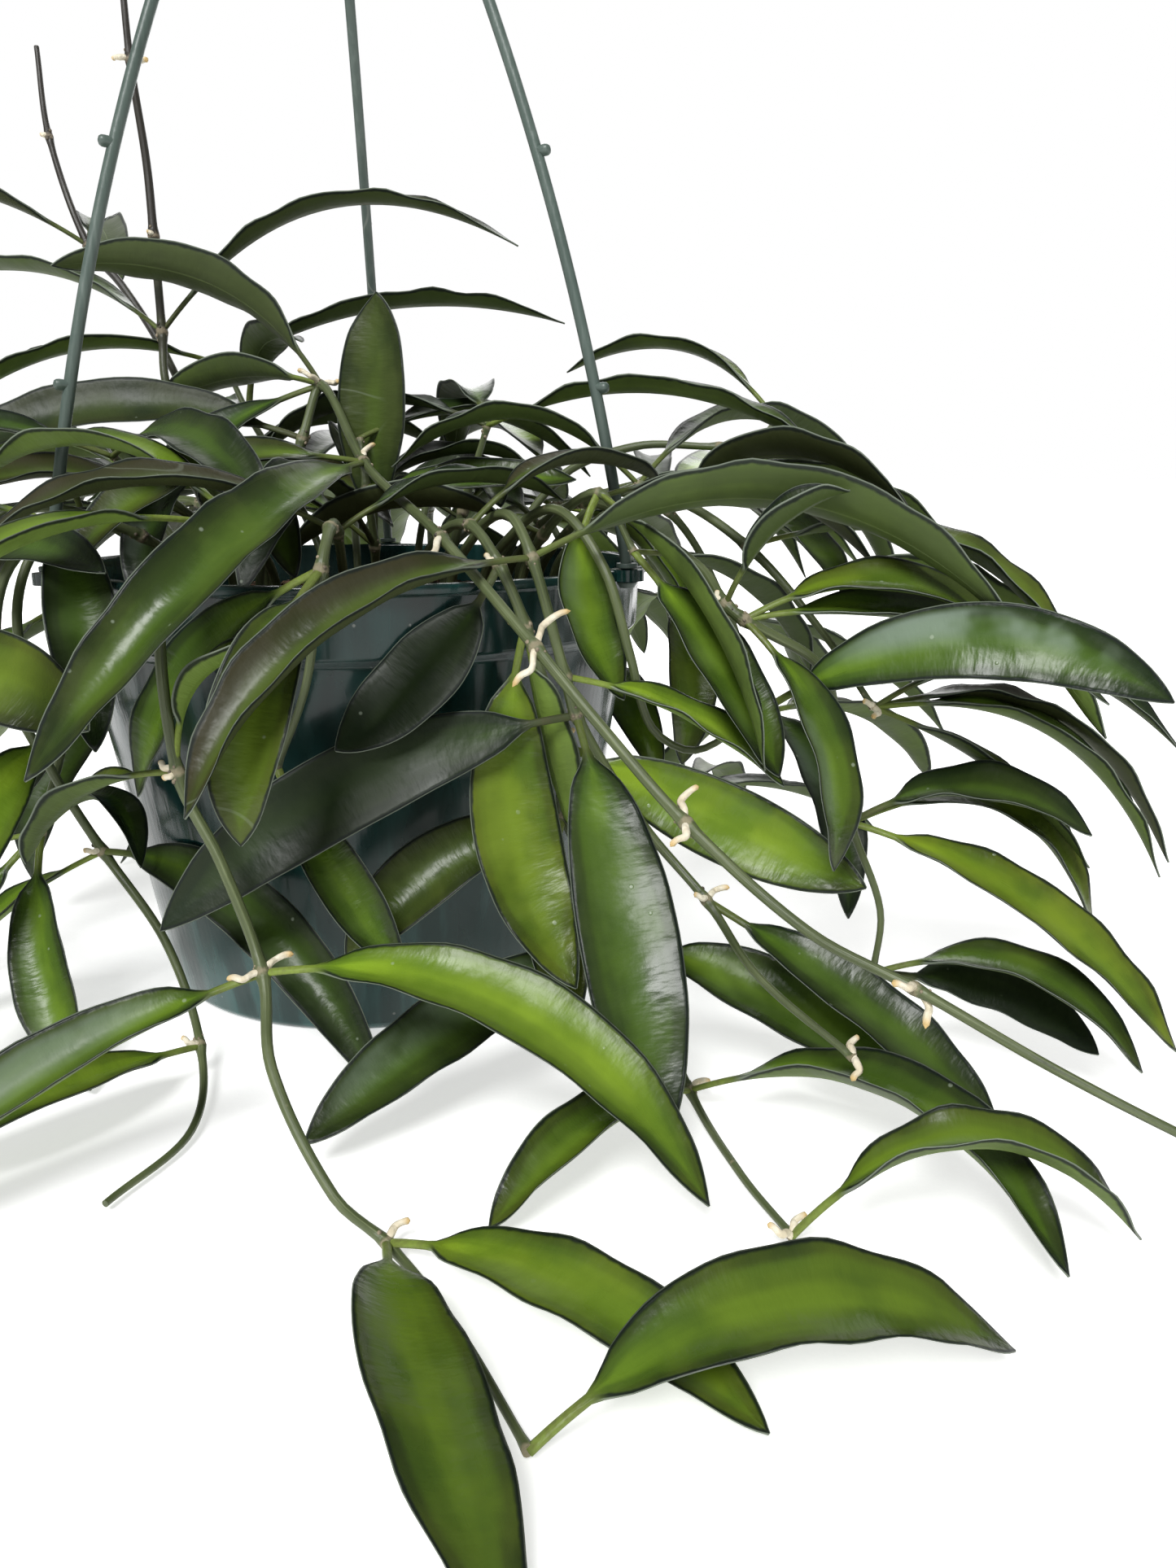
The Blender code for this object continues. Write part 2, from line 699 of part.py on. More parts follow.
def make_hanger(collection):
    """One moulding: three bowed legs with pegs and clip feet, the hub that joins them and the hook."""
    pieces = []
    foot = EAR_LOW - GAP
    seat = EAR_TOP + GAP
    for angle in EAR_ANGLES:
        place = around(EAR_CIRCLE, angle)
        pieces.append(rod(BUTTON_RADIUS, foot - BUTTON_LENGTH, foot, EAR_SIDES, collection, place))
        pieces.append(rod(NECK_RADIUS, foot - 1 * MM, seat + 1 * MM, HOLE_SIDES, collection, place))
        pieces.append(rod(COLLAR_RADIUS, seat, seat + COLLAR_HEIGHT, EAR_SIDES, collection, place))
        low = seat + COLLAR_HEIGHT / 2
        heights = [low + (HUB_HEIGHT - low) * i / LEG_STEPS for i in range(LEG_STEPS + 1)]
        line = [leg_point(angle, h) for h in heights]
        radii = [LEG_RADIUS] * (LEG_STEPS - 1) + [LEG_TOP_RADIUS * 0.8, LEG_TOP_RADIUS]
        pieces.append(wire(line, radii, 1, collection))
        for height in PEG_HEIGHTS:
            middle = leg_point(angle, height)
            out = Vector((*around(1, angle), 0))
            pieces.append(wire([middle, middle + out * PEG_REACH], [PEG_RADIUS] * 2, 0, collection))
    hub = rod(HUB_RADIUS, HUB_HEIGHT - HUB_LENGTH / 2, HUB_HEIGHT + HUB_LENGTH / 2, 16, collection)
    hub.name = "hanger"
    line = [Vector((0, 0, HUB_HEIGHT)), Vector((0, 0, HUB_HEIGHT + HOOK_SHANK))]
    for i in range(HOOK_STEPS + 1):
        across, up = around(HOOK_RADIUS, HOOK_FROM + (HOOK_TO - HOOK_FROM) * i / HOOK_STEPS)
        line.append(Vector((across, 0, HOOK_CENTRE + up)))
    pieces.append(wire(line, [HOOK_WIRE] * len(line), 1, collection))
    combine(hub, pieces, "UNION")
    keep_largest_piece(hub)
    shade_round(hub)
    return hub


def smooth_line(points, step, straight_start=False):
    """Points along a smooth curve through these, and the number of each given point in the result."""
    count = len(points)
    gaps = [(points[i + 1] - points[i]).length for i in range(count - 1)]
    slopes = []
    for i in range(count):
        if i == 0:
            slopes.append((points[1] - points[0]) / gaps[0])
        elif i == count - 1:
            slopes.append((points[-1] - points[-2]) / gaps[-1])
        else:
            slopes.append((points[i + 1] - points[i - 1]) / (gaps[i - 1] + gaps[i]))
    if straight_start:
        slopes[0] = Vector((0, 0, 1))
        slopes[1] = Vector((0, 0, 1))
    line = [points[0].copy()]
    marks = [0]
    for i in range(count - 1):
        pieces = max(1, round(gaps[i] / step))
        for k in range(1, pieces + 1):
            t = k / pieces
            a = 2 * t**3 - 3 * t**2 + 1
            b = t**3 - 2 * t**2 + t
            c = -2 * t**3 + 3 * t**2
            d = t**3 - t**2
            line.append(
                a * points[i] + b * gaps[i] * slopes[i] + c * points[i + 1] + d * gaps[i] * slopes[i + 1]
            )
        marks.append(len(line) - 1)
    return line, marks


def stem_line(vine):
    """The stem's centre line in millimetres, the radius at each point, and the numbers of its plan points."""
    x, y = vine.hole
    foot = Vector((x, y, (SOIL_TOP - HOLE_DEPTH + GAP) / MM))
    mouth = Vector((x, y, (SOIL_TOP + SOIL_CROWN + SOIL_ROUGHNESS) / MM + 1))
    points = [foot, mouth] + [Vector(p) for p in vine.route]
    line, marks = smooth_line(points, STEM_STEP, straight_start=True)
    marks = marks[2:]
    leafy = {leaf.node for leaf in vine.leaves} | {root.node for root in vine.roots}
    radii = []
    for i in range(len(line)):
        share = i / (len(line) - 1)
        late = max(0, share - STEM_TAPER_FROM) / (1 - STEM_TAPER_FROM)
        radius = STEM_RADIUS + (TIP_RADIUS - STEM_RADIUS) * late
        if i in marks and marks.index(i) in leafy:
            radius *= NODE_SWELL
        radii.append(radius)
    for i, point in enumerate(line):
        point.z = max(point.z, radii[i] + REST_HEIGHT)
    return line, radii, marks


def leaf_axes(leaf):
    """The leaf's direction, its left and its upper side."""
    heading = math.radians(leaf.heading)
    pitch = math.radians(leaf.pitch)
    along = Vector(
        (math.cos(pitch) * math.cos(heading), math.cos(pitch) * math.sin(heading), math.sin(pitch))
    )
    left = Vector((-math.sin(heading), math.cos(heading), 0))
    return along, left, along.cross(left)


def blade_share(u):
    """The blade's half width at a share u of its length, as a share of its widest."""
    if u <= 0 or u >= 1:
        return 0.0
    return (4 * u * (1 - u)) ** BLADE_ROUNDNESS


def leaf_sections(leaf, base, bend, grow_side=0.0, grow_above=0.0):
    """The leaf's cross-sections from its root to near its tip, and the tip, in millimetres.

    Each section is its left edge, upper middle, right edge and lower middle. The edges stand up from
    the middle by the fold, and wave. No section reaches below the surface that the basket stands on.
    """
    lowest_rise = max(-1, min(1, (REST_HEIGHT + TIP_THICKNESS - base.z) / leaf.reach))
    lowest_pitch = math.degrees(math.asin(lowest_rise))
    leaf = leaf._replace(pitch=max(leaf.pitch, lowest_pitch))
    blade_stations = leaf.stations if leaf.reach > SHORT_LEAF else SIDE_STATIONS
    along, left, up = leaf_axes(leaf)
    tip = base + along * leaf.reach + bend
    middle = (base + tip) / 2 + up * leaf.arch + left * leaf.sway + bend * 0.25
    control = 2 * middle - (base + tip) / 2
    roll = math.radians(leaf.roll)

    def line(t):
        return (1 - t) ** 2 * base + 2 * t * (1 - t) * control + t * t * tip

    def slope(t):
        return (2 * (1 - t) * (control - base) + 2 * t * (tip - control)).normalized()

    length = sum((line((i + 1) / 12) - line(i / 12)).length for i in range(12))
    stalk = min(PETIOLE, PETIOLE_SHARE * length) / length
    fold = math.radians(leaf.fold)
    phase = leaf.heading + leaf.reach
    stations = [0.0] + [stalk + (1 - stalk) * u for u in blade_stations]
    sections = []
    for number, t in enumerate(stations):
        u = (t - stalk) / (1 - stalk)
        centre = line(t)
        tangent = slope(t)
        side = (left * math.cos(roll) + up * math.sin(roll)).normalized()
        side = (side - tangent * side.dot(tangent)).normalized()
        over = tangent.cross(side)
        half = max(PETIOLE_RADIUS, leaf.width / 2 * blade_share(u)) + grow_side
        thick = BLADE_THICKNESS / 2 if u > 0 else PETIOLE_RADIUS
        thick += (TIP_THICKNESS / 2 - thick) * max(0, u - THIN_FROM) / (1 - THIN_FROM) + grow_above
        bent = fold * min(1, blade_share(u) * 1.5)
        wave = WAVE_HEIGHT * blade_share(u) * math.sin(2 * math.pi * t * length / WAVE_LENGTH + phase)
        edge_out = half * math.cos(bent)
        edge_up = half * math.sin(bent)
        corners = [
            centre + side * edge_out + over * (edge_up + wave),
            centre + over * thick,
            centre - side * edge_out + over * (edge_up - wave),
            centre - over * thick,
        ]
        lowest = min(corner.z for corner in corners)
        if number > 0 and lowest < REST_HEIGHT:
            for corner in corners:
                corner.z += REST_HEIGHT - lowest
        sections.append(corners)
    end = tip.copy()
    end.z = max(end.z, REST_HEIGHT + TIP_THICKNESS / 2)
    return sections, end


def leaf_shell(sections, end, first=0):
    """Points and triangles of a closed leaf, split alike on both faces, from one section to the tip."""
    rings = sections[first:]
    points = [corner for ring in rings for corner in ring] + [end]
    faces = [(0, 1, 2), (0, 2, 3)]
    for i in range(len(rings) - 1):
        a = 4 * i
        b = a + 4
        for edge, face in ((0, 1), (2, 1), (2, 3), (0, 3)):
            corners = [(a + edge, b + face, a + face), (a + edge, b + edge, b + face)]
            faces += corners if (edge, face) in ((0, 1), (2, 3)) else [c[::-1] for c in corners]
    last = 4 * (len(rings) - 1)
    top = len(points) - 1
    faces += [(last + (k + 1) % 4, last + k, top) for k in range(4)]
    return points, faces


def tree_of(points, faces):
    return BVHTree.FromPolygons([tuple(p) for p in points], faces)


class Obstacles:
    """What has been placed so far, so that the next piece is bent clear of it."""

    def __init__(self):
        self.things = []

    def add(self, owner, points, faces):
        low = [min(p[k] for p in points) for k in range(3)]
        high = [max(p[k] for p in points) for k in range(3)]
        self.things.append((owner, low, high, tree_of(points, faces)))

    def hits(self, points, faces, skip=None, only=None):
        """Whether this shell crosses what has been placed, but for one stem's, or only for one stem's."""
        low = [min(p[k] for p in points) for k in range(3)]
        high = [max(p[k] for p in points) for k in range(3)]
        tree = None
        for owner, lows, highs, other in self.things:
            if owner == skip or (only and owner != only):
                continue
            if any(low[k] > highs[k] or high[k] < lows[k] for k in range(3)):
                continue
            tree = tree or tree_of(points, faces)
            if tree.overlap(other):
                return True
        return False


def fits(leaf, base, bend, owner, obstacles):
    """Whether the leaf, a little swollen, is clear of the rest, and its blade of its own stem's leaves."""
    if obstacles.hits(*leaf_shell(*leaf_sections(leaf, base, bend, CLEAR_SIDE, CLEAR_ABOVE)), skip=owner):
        return False
    return not obstacles.hits(*leaf_shell(*leaf_sections(leaf, base, bend), first=OWN_FIRST), only=owner)


def settle(leaf, base, owner, obstacles):
    """The leaf and the bend that clear it, by the smallest swing or turn that does, or None."""
    ways = [(abs(step) + abs(turn) / TURN_EASE, step, turn) for step in BEND_STEPS for turn in TURNS]
    for _, step, turn in sorted(ways, key=lambda way: way[0]):
        changed = leaf._replace(roll=leaf.roll + turn)
        if fits(changed, base, BEND_WAY * step, owner, obstacles):
            return changed, BEND_WAY * step
    return None


def crown_leaves():
    """The name of the stem and the leaf, for each of the rest of the crown's leaves."""
    for name, node, heading, pitch, reach, arch, width in CROWN_LEAVES:
        yield name, Leaf(node, heading, pitch, reach, arch, 0, width, stations=SIDE_STATIONS)


def full_plan():
    """The planned stems with all of their leaves."""
    vines = []
    for vine in PLAN:
        more = [leaf for name, leaf in crown_leaves() if name == vine.name]
        vines.append(vine._replace(leaves=vine.leaves + more))
    return vines


def side_vines():
    """The stems of the sides and back: each leaves the mix, arches over the rim and trails down."""
    chance = random.Random(SEED)
    vines = []
    for i in range(SIDE_STEMS):
        share = (i + 0.5) / SIDE_STEMS
        angle = SIDE_FROM + (SIDE_TO - SIDE_FROM) * share
        hole = around(SIDE_HOLES[i % 2], angle)
        rise = chance.uniform(*SIDE_RIM_RISE)
        swing = chance.uniform(*SIDE_SWING)
        fall = chance.uniform(*SIDE_FALL)
        drift = chance.uniform(-10, 10)
        rim = BASKET_HEIGHT / MM
        route = [
            (*around(SIDE_RIM[0], angle), rim + rise * 0.8),
            (*around(SIDE_RIM[1], angle + drift * 0.4), rim + rise * 0.6),
            (*around(swing * 0.93, angle + drift * 0.7), rim - SIDE_DROP),
            (*around(swing, angle + drift), rim - SIDE_DROP - (rim - 40) * (1 - fall / 140)),
        ]
        leaves = []
        for node in range(len(route)):
            plane = 90 if (node + i) % 2 else 25
            for hand in (1, -1):
                leaves.append(
                    Leaf(
                        node,
                        angle + hand * plane + chance.uniform(-22, 22),
                        chance.uniform(-34, -6) if node < 2 else chance.uniform(-52, -22),
                        chance.uniform(*SIDE_LEAF_REACH),
                        chance.uniform(8, 20),
                        chance.uniform(-6, 6),
                        chance.uniform(*SIDE_LEAF_WIDTH),
                        stations=SIDE_STATIONS,
                    )
                )
        vines.append(Vine(f"stem_side_{i + 1:02d}", hole, route, leaves, []))
    return vines


def redraws(leaf, chance):
    """Other ways that a leaf on a side stem may grow, drawn until one is clear."""
    yield leaf
    for _ in range(LEAF_TRIES):
        yield leaf._replace(
            heading=leaf.heading + chance.uniform(-38, 38),
            pitch=leaf.pitch + chance.uniform(-24, 24),
            reach=leaf.reach * chance.uniform(0.8, 1.0),
            arch=chance.uniform(4, 20),
            roll=chance.uniform(-30, 30),
        )


def mesh_from(points, faces):
    """A mesh of these points, given in millimetres."""
    mesh = bpy.data.meshes.new("shell")
    mesh.from_pydata([tuple(Vector(p) * MM) for p in points], [], faces)
    mesh.validate()
    return mesh


def shell_of(thing):
    """An object's points in millimetres, and its faces."""
    points = [v.co / MM for v in thing.data.vertices]
    faces = [tuple(p.vertices) for p in thing.data.polygons]
    return points, faces


def root_wire(root, base, collection):
    """A short blunt root that leaves the stem and bends once, as a tube."""
    heading = math.radians(root.heading)
    pitch = math.radians(root.pitch)
    out = Vector((math.cos(pitch) * math.cos(heading), math.cos(pitch) * math.sin(heading), math.sin(pitch)))
    across = Vector((-math.sin(heading), math.cos(heading), 0.4)) * root.length * ROOT_BEND
    line = [base, base + out * root.length * 0.5 + across * 0.6, base + out * root.length]
    for point in line:
        point.z = max(point.z, ROOT_RADIUS + REST_HEIGHT)
    radii = [ROOT_RADIUS * MM, ROOT_RADIUS * MM, ROOT_RADIUS * ROOT_TIP * MM]
    return wire([p * MM for p in line], radii, 0, collection, "root")


def grow(collection, obstacles):
    """Places every stem, then every leaf and root bent clear of the rest, and returns them by stem."""
    sides = side_vines()
    vines = full_plan() + sides
    stems = {}
    for vine in vines:
        line, radii, marks = stem_line(vine)
        stem = wire([p * MM for p in line], [r * MM for r in radii], 0, collection, vine.name)
        obstacles.add(vine.name, *shell_of(stem))
        stems[vine.name] = (stem, line, marks)
    roots = {}
    for vine in vines:
        line, marks = stems[vine.name][1:]
        roots[vine.name] = []
        for root in vine.roots:
            tube = root_wire(root, line[marks[root.node]], collection)
            if obstacles.hits(*shell_of(tube), skip=vine.name):
                bpy.data.objects.remove(tube)
                continue
            obstacles.add(vine.name, *shell_of(tube))
            roots[vine.name].append(tube)
    chance = random.Random(SEED)
    kept = {vine.name: [] for vine in vines}
    turns = [(vine.name, leaf, True) for vine in PLAN for leaf in vine.leaves]
    turns += [(name, leaf, True) for name, leaf in crown_leaves()]
    turns += [(vine.name, leaf, False) for vine in sides for leaf in vine.leaves]
    for name, leaf, planned in turns:
        line, marks = stems[name][1:]
        base = line[marks[leaf.node]]
        found = None
        if planned:
            found = settle(leaf, base, name, obstacles)
        else:
            for draw in redraws(leaf, chance):
                if fits(draw, base, Vector((0, 0, 0)), name, obstacles):
                    found = (draw, Vector((0, 0, 0)))
                    break
        if found is None:
            continue
        sections, end = leaf_sections(found[0], base, found[1])
        points, faces = leaf_shell(sections, end)
        kept[name].append((points, faces))
        obstacles.add(name, points, faces)
    return vines, stems, roots, kept


def make_vine(stem, roots, shells, finish, collection):
    """One leafy stem: its leaves and roots joined to it in one body."""
    pieces = list(roots)
    for points, faces in shells:
        pieces.append(link("leaf", mesh_from(points, faces), collection))
    if pieces:
        combine(stem, pieces, "UNION")
    keep_largest_piece(stem)
    stem.data.materials.clear()
    stem.data.materials.append(finish)
    shade_round(stem, 60)
    return stem


def make_soil(collection):
    """The growing mix: rough on top and a little mounded."""
    chance = random.Random(SEED)
    edge = math.cos(math.pi / BASKET_SIDES)
    rim_radius = basket_inner_radius(SOIL_TOP) * edge - 2 * GAP
    low_radius = basket_inner_radius(2 * FLOOR) * edge - 2 * GAP
    profile = [(0, SOIL_TOP)]
    profile += [(rim_radius * share, SOIL_TOP) for share in SOIL_RINGS]
    profile += [
        (rim_radius, SOIL_TOP - 1 * MM),
        (rim_radius, BAND_FOOT + 1.4 * MM),
        ((WALL_TOP_RADIUS - WALL) * edge - 2 * GAP, BAND_FOOT - STEP_RISE + 1.1 * MM),
        (low_radius, 2 * FLOOR + 1 * MM),
        (low_radius - EDGE_CUT, FLOOR + GAP),
        (0, FLOOR + GAP),
    ]
    soil = turned("soil", profile, SOIL_SIDES, collection)
    for point in soil.data.vertices:
        radius = math.hypot(point.co.x, point.co.y)
        if point.co.z > SOIL_TOP - 0.1 * MM:
            share = radius / rim_radius
            point.co.z += SOIL_CROWN * (1 - share**2) + chance.uniform(-1, 1) * SOIL_ROUGHNESS
    return soil


def cut_stem_holes(soil, vines, collection):
    """A plain hole in the mix for each stem."""
    radius = (STEM_RADIUS + STEM_HOLE_CLEARANCE) / math.cos(math.pi / STEM_HOLE_SIDES) * MM
    low = SOIL_TOP - HOLE_DEPTH
    high = SOIL_TOP + STEM_HOLE_TOP * MM
    holes = []
    for vine in vines:
        place = (vine.hole[0] * MM, vine.hole[1] * MM)
        holes.append(rod(radius, low, high, STEM_HOLE_SIDES, collection, place))
    combine(soil, holes, "DIFFERENCE")


def main():
    for thing in list(bpy.data.objects):
        bpy.data.objects.remove(thing)
    collection = bpy.data.collections.new("hanging_basket_hoya")
    bpy.context.scene.collection.children.link(collection)
    basket = make_basket(collection)
    hanger = make_hanger(collection)
    obstacles = Obstacles()
    obstacles.add("basket", *shell_of(basket))
    obstacles.add("hanger", *shell_of(hanger))
    soil = make_soil(collection)
    obstacles.add("soil", *shell_of(soil))
    vines, stems, roots, kept = grow(collection, obstacles)
    cut_stem_holes(soil, vines, collection)
    basket.data.materials.append(material("basket_plastic", BASKET_GREEN, 0.25, 0.9))
    hanger.data.materials.append(material("hanger_plastic", HANGER_GREEN, 0.45))
    soil.data.materials.append(material("growing_mix", SOIL_BROWN, 0.95))
    green = material("leaf_green", LEAF_GREEN, 0.35)
    dark = material("leaf_dark", DARK_GREEN, 0.3)
    for number, vine in enumerate(vines):
        finish = dark if number % 3 == 1 else green
        make_vine(stems[vine.name][0], roots[vine.name], kept[vine.name], finish, collection)


main()
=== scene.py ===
"""Looks for a trailing hoya in a plastic hanging basket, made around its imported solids.

The growing plan and the form of a leaf are those of the solids. How each leaf was bent clear of the
others is found by looking for its corners in its own solid. The plan is in millimetres, the meshes are
in metres, and every piece has its place in its mesh.
"""

import math
import random
from collections import namedtuple

import bmesh
import bpy
from mathutils import Matrix, Vector
from mathutils.kdtree import KDTree

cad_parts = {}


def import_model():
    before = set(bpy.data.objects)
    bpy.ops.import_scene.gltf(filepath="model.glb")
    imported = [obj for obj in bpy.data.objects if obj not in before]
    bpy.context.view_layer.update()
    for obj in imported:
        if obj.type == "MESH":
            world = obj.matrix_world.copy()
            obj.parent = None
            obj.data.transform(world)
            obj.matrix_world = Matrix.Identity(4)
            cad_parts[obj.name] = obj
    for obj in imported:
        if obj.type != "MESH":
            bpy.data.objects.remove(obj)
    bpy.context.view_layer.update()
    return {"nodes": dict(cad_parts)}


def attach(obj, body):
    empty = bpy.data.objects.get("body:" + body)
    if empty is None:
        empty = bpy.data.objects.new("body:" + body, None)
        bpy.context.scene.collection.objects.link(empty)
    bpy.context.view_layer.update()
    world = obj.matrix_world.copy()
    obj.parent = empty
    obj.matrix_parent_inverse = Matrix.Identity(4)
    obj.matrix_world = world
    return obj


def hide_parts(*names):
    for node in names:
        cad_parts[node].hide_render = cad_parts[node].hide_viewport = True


MM = 0.001

# Basket, in millimetres
BASKET_HEIGHT = 145
LIP_RADIUS = 101
LIP_THICKNESS = 3
BAND_RADIUS = 97.5
BAND_TAPER = 0.8
BAND_FOOT = 124
WALL_TOP_RADIUS = 93.5
BASE_RADIUS = 75
WALL = 1.8
FLOOR = 2.2
STEP_RISE = 2.5
EDGE_CUT = 2
BASKET_SIDES = 144
BASKET_ROUNDING = 0.9
INNER_STEP_LIFT = 0.6
SHARP_BASKET_EDGE = 35
DRAIN_HOLES = 5
DRAIN_RADIUS = 3.5
DRAIN_CIRCLE = 48
DRAIN_SIDES = 24
DRAIN_CUT = 3

# Ears on the lip, and the hanger that clips through them
EAR_CIRCLE = 102
EAR_RADIUS = 5.5
EAR_HOLE_RADIUS = 2.1
EAR_SIDES = 28
EAR_HOLE_SIDES = 20
EAR_CUT = 4
EAR_PROUD = 0.3
EAR_LOW = BASKET_HEIGHT - LIP_THICKNESS - EAR_PROUD
EAR_TOP = BASKET_HEIGHT + EAR_PROUD
LEGS = 3
FIRST_LEG = 90
HUB_HEIGHT = 423
HUB_RADIUS = 6
HUB_LENGTH = 10
HUB_SIDES = 40
HUB_ROUNDING = 1.2
LEG_RADIUS = 1.8
LEG_TOP_RADIUS = 3
LEG_BOW = 16
LEG_FOOT_BEND = 0.2
LEG_FOOT_RISE = 0.8
LEG_STEPS = 48
LEG_WIDENS_AT = 42
LEG_SIDES = 14
NECK_RADIUS = 1.6
BUTTON_RADIUS = 3.2
BUTTON_LENGTH = 2
BUTTON_TAPER = 0.7
BUTTON_RIM = 0.5
COLLAR_RADIUS = 3.4
COLLAR_LENGTH = 1.6
CLIP_SIDES = 28
CLIP_ROUNDING = 0.35
PEG_RADIUS = 1.7
PEG_REACH = 4.6
PEG_HEIGHTS = (200, 268)
PEG_SHAPE = ((0, 1), (0.35, 0.92), (0.6, 1), (0.8, 0.94), (0.93, 0.72), (1, 0.25))
HOOK_RADIUS = 18
HOOK_WIRE = 2.7
HOOK_CENTRE = 466
HOOK_START = -64
HOOK_END = 205
HOOK_STEPS = 48
HOOK_NECK = 12
HOOK_STEP = 2.0
HOOK_SIDES = 20
HOOK_TIP = (0.94, 0.75, 0.3)
SHARP_HANGER_EDGE = 40
GAP = 0.3

# How a profile's corners are rounded: the most of a side that one takes, and its steps. A point nearer to
# the axis than ON_AXIS is on it.
CORNER_SHARE = 0.45
CORNER_STEPS = 3
ON_AXIS = 0.001

# Growing mix. CHIPS is how many bark chips lie on a square metre of its top.
SOIL_TOP = 129
SOIL_CROWN = 4
SOIL_ROUGHNESS = 1.6
SOIL_SIDES = 72
SOIL_RINGS = 30
SOIL_EDGE = 1
SOIL_STEP_TOP = 1.4
SOIL_STEP_FOOT = 1.1
CHIPS = 26000.0
CHIPS_BELOW = 2.4
CHIPS_START = 0.5
CHIPS_FACING = (0.5, 0.8)
CHIP_SIZES = ((1.4, 4.2), (1.2, 2.6), (0.5, 1.1))
CHIP_TURNS = ((-0.5, 0.5), (-0.5, 0.5), (0.0, math.tau))
CHIP_LOW = 0.35
CHIP_JAG = 1.3
CHIP_JAG_SCALE = 1.4
CHIP_SEED = 5
CHIP_SIZE_SEED = 1
CHIP_TURN_SEED = 6
HOLE_DEPTH = 14
MOUTH_RISE = 1

# Stems and roots, and how the names of the bare stems and of the hidden ones at the sides start. WARTS
# is how many lumps stand on a square metre of stem at a knot. How brown a stem is starts from its foot's
# level and changes along it.
BARE_STEMS = "stem_whip_left"
SIDE_STEM = "stem_side_0"
STEM_RADIUS = 1.6
TIP_RADIUS = 1.0
TAPER_FROM = 0.6
STEM_STEP = 3.5
SOLID_STEM_STEP = 30
SOLID_KNOT = 1.3
STEM_SLIMMING = 0.94
KNOT_SWELL = 0.42
KNOT_LENGTH = 2.6
BARE_BROWN = 0.25
BARE_BROWNING = 1.1
FOOT_BROWN = 0.75
FOOT_FADING = 6
KNOT_BROWN = 0.25
WARTS = 110000.0
WARTS_NEAR = (0.45, 0.95)
WART_SIZES = (0.28, 0.72)
WART_FLATNESS = 0.75
WART_SEED = 4
ROOT_RADIUS = 0.95
ROOT_BEND = 0.35
ROOT_BEND_RISE = 0.4
ROOT_BEND_SHARE = 0.6
ROOT_STEPS = 16
ROOT_WOBBLE = 1.3
ROOT_WOBBLE_SHARE = 0.09
ROOT_WOBBLE_RISE = 0.6
ROOT_WOBBLE_TURNS = 1.4
ROOT_FOOT = 1.06
ROOT_THINNING = 0.22
ROOT_LUMP = 0.07
ROOT_LUMP_RATE = 9
ROOT_BLUNT_FROM = 0.9
ROOT_BLUNTNESS = 0.0101

# Leaves. A span is where a change starts and ends along the blade, as shares of its length.
PETIOLE = 12
PETIOLE_RADIUS = 1.15
LONGEST_STALK = 0.2
STALK_FLARE = 1.12
STALK_NARROW_SPAN = (-0.25, 0.02)
STALK_FLAT_SPAN = (-0.02, 0.10)
RIB_SPAN = (0.9, 1.0)
RIB_TIP = 0.2
BLADE_THICKNESS = 1.7
TIP_THICKNESS = 0.8
BLADE_STATIONS = (0.0, 0.13, 0.34, 0.56, 0.77, 0.92)
SIDE_STATIONS = (0.0, 0.22, 0.58, 0.87)
SHORT_LEAF = 82
BLADE_ROUNDNESS = 0.62
BLADE_OUTLINE = (
    (0, 0), (0.04, 0.22), (0.13, 0.60), (0.34, 0.93), (0.5, 1.0), (0.63, 0.955), (0.77, 0.80),
    (0.88, 0.55), (0.95, 0.30), (1, 0.03),
)
BLADE_START = (-0.001, 0.001)
TIP_EDGE = 0.3
RING_CROWDING = 0.045
CHANNEL_POWER = 1.75
FOLD = 24
FOLD_SPREAD = 1.5
WAVE_HEIGHT = 0.9
WAVE_SHARE = 0.55
WAVE_LENGTH = 27
RIPPLE_RATE = 1.4
RIPPLE_SHIFT = 3.0
RIPPLE_SLANT = 1.3
RIPPLE_POWER = 4.0
RIPPLE_LOW = 0.16
RIPPLE_RANGE = 0.34
RIPPLE_BY_HEADING = 0.37
RIPPLE_BY_REACH = 0.11
REST_HEIGHT = 0.3
REST_SPAN = (0.0, 0.04)
BEND_STEPS = (0, 3, -3, 6, -6, 9, -9, 12, -12, 16, -16, 20, -20, 25, -25, 30, -30, 36, -36)
BEND_WAY = Vector((0.08, -0.95, 0.28))
MIDDLE_BEND = 0.25
TURNS = (0, 12, -12, 24, -24, 36, -36)
TURN_EASE = 3.0
MATCH_WITHIN = 0.06
MATCH_SHARE = 0.5
LENGTH_STEPS = 12

# The numbers of the parts in the mesh that a whole stem grows from
LEAF_PART = 0
STEM_PART = 1
ROOT_PART = 2

# How light, how yellow, how bronzed and how silvery a leaf is, the last being its waxy bloom with painted
# sheen in it; OTHER_HALF added to the last puts the silver on the leaf's other half
OTHER_HALF = 1.0
YOUNG = (0.95, 0.65, 0.0, 0.05)
BRIGHT = (0.78, 0.35, 0.0, 0.10)
MID = (0.56, 0.12, 0.05, 0.20)
OLIVE = (0.50, 0.50, 0.20, 0.10)
DEEP = (0.36, 0.05, 0.10, 0.15)
SILVER = (0.34, 0.00, 0.10, 1.00)
DARK = (0.10, 0.00, 0.15, 0.06)
BRONZE = (0.30, 0.25, 0.95, 0.10)
DUSKY = (0.20, 0.15, 0.50, 0.10)
COMMON_TONES = (MID, MID, OLIVE, DEEP, DEEP, SILVER, DARK, BRIGHT, BRONZE)

Leaf = namedtuple(
    "Leaf",
    "node heading pitch reach arch sway width roll fold tone stations",
    defaults=(22, 0, FOLD, None, BLADE_STATIONS),
)
Root = namedtuple("Root", "node heading pitch length")
Vine = namedtuple("Vine", "name hole route leaves roots")
Spot = namedtuple("Spot", "light yellow bronze silver u across above edge rim streak height patch speck mark")

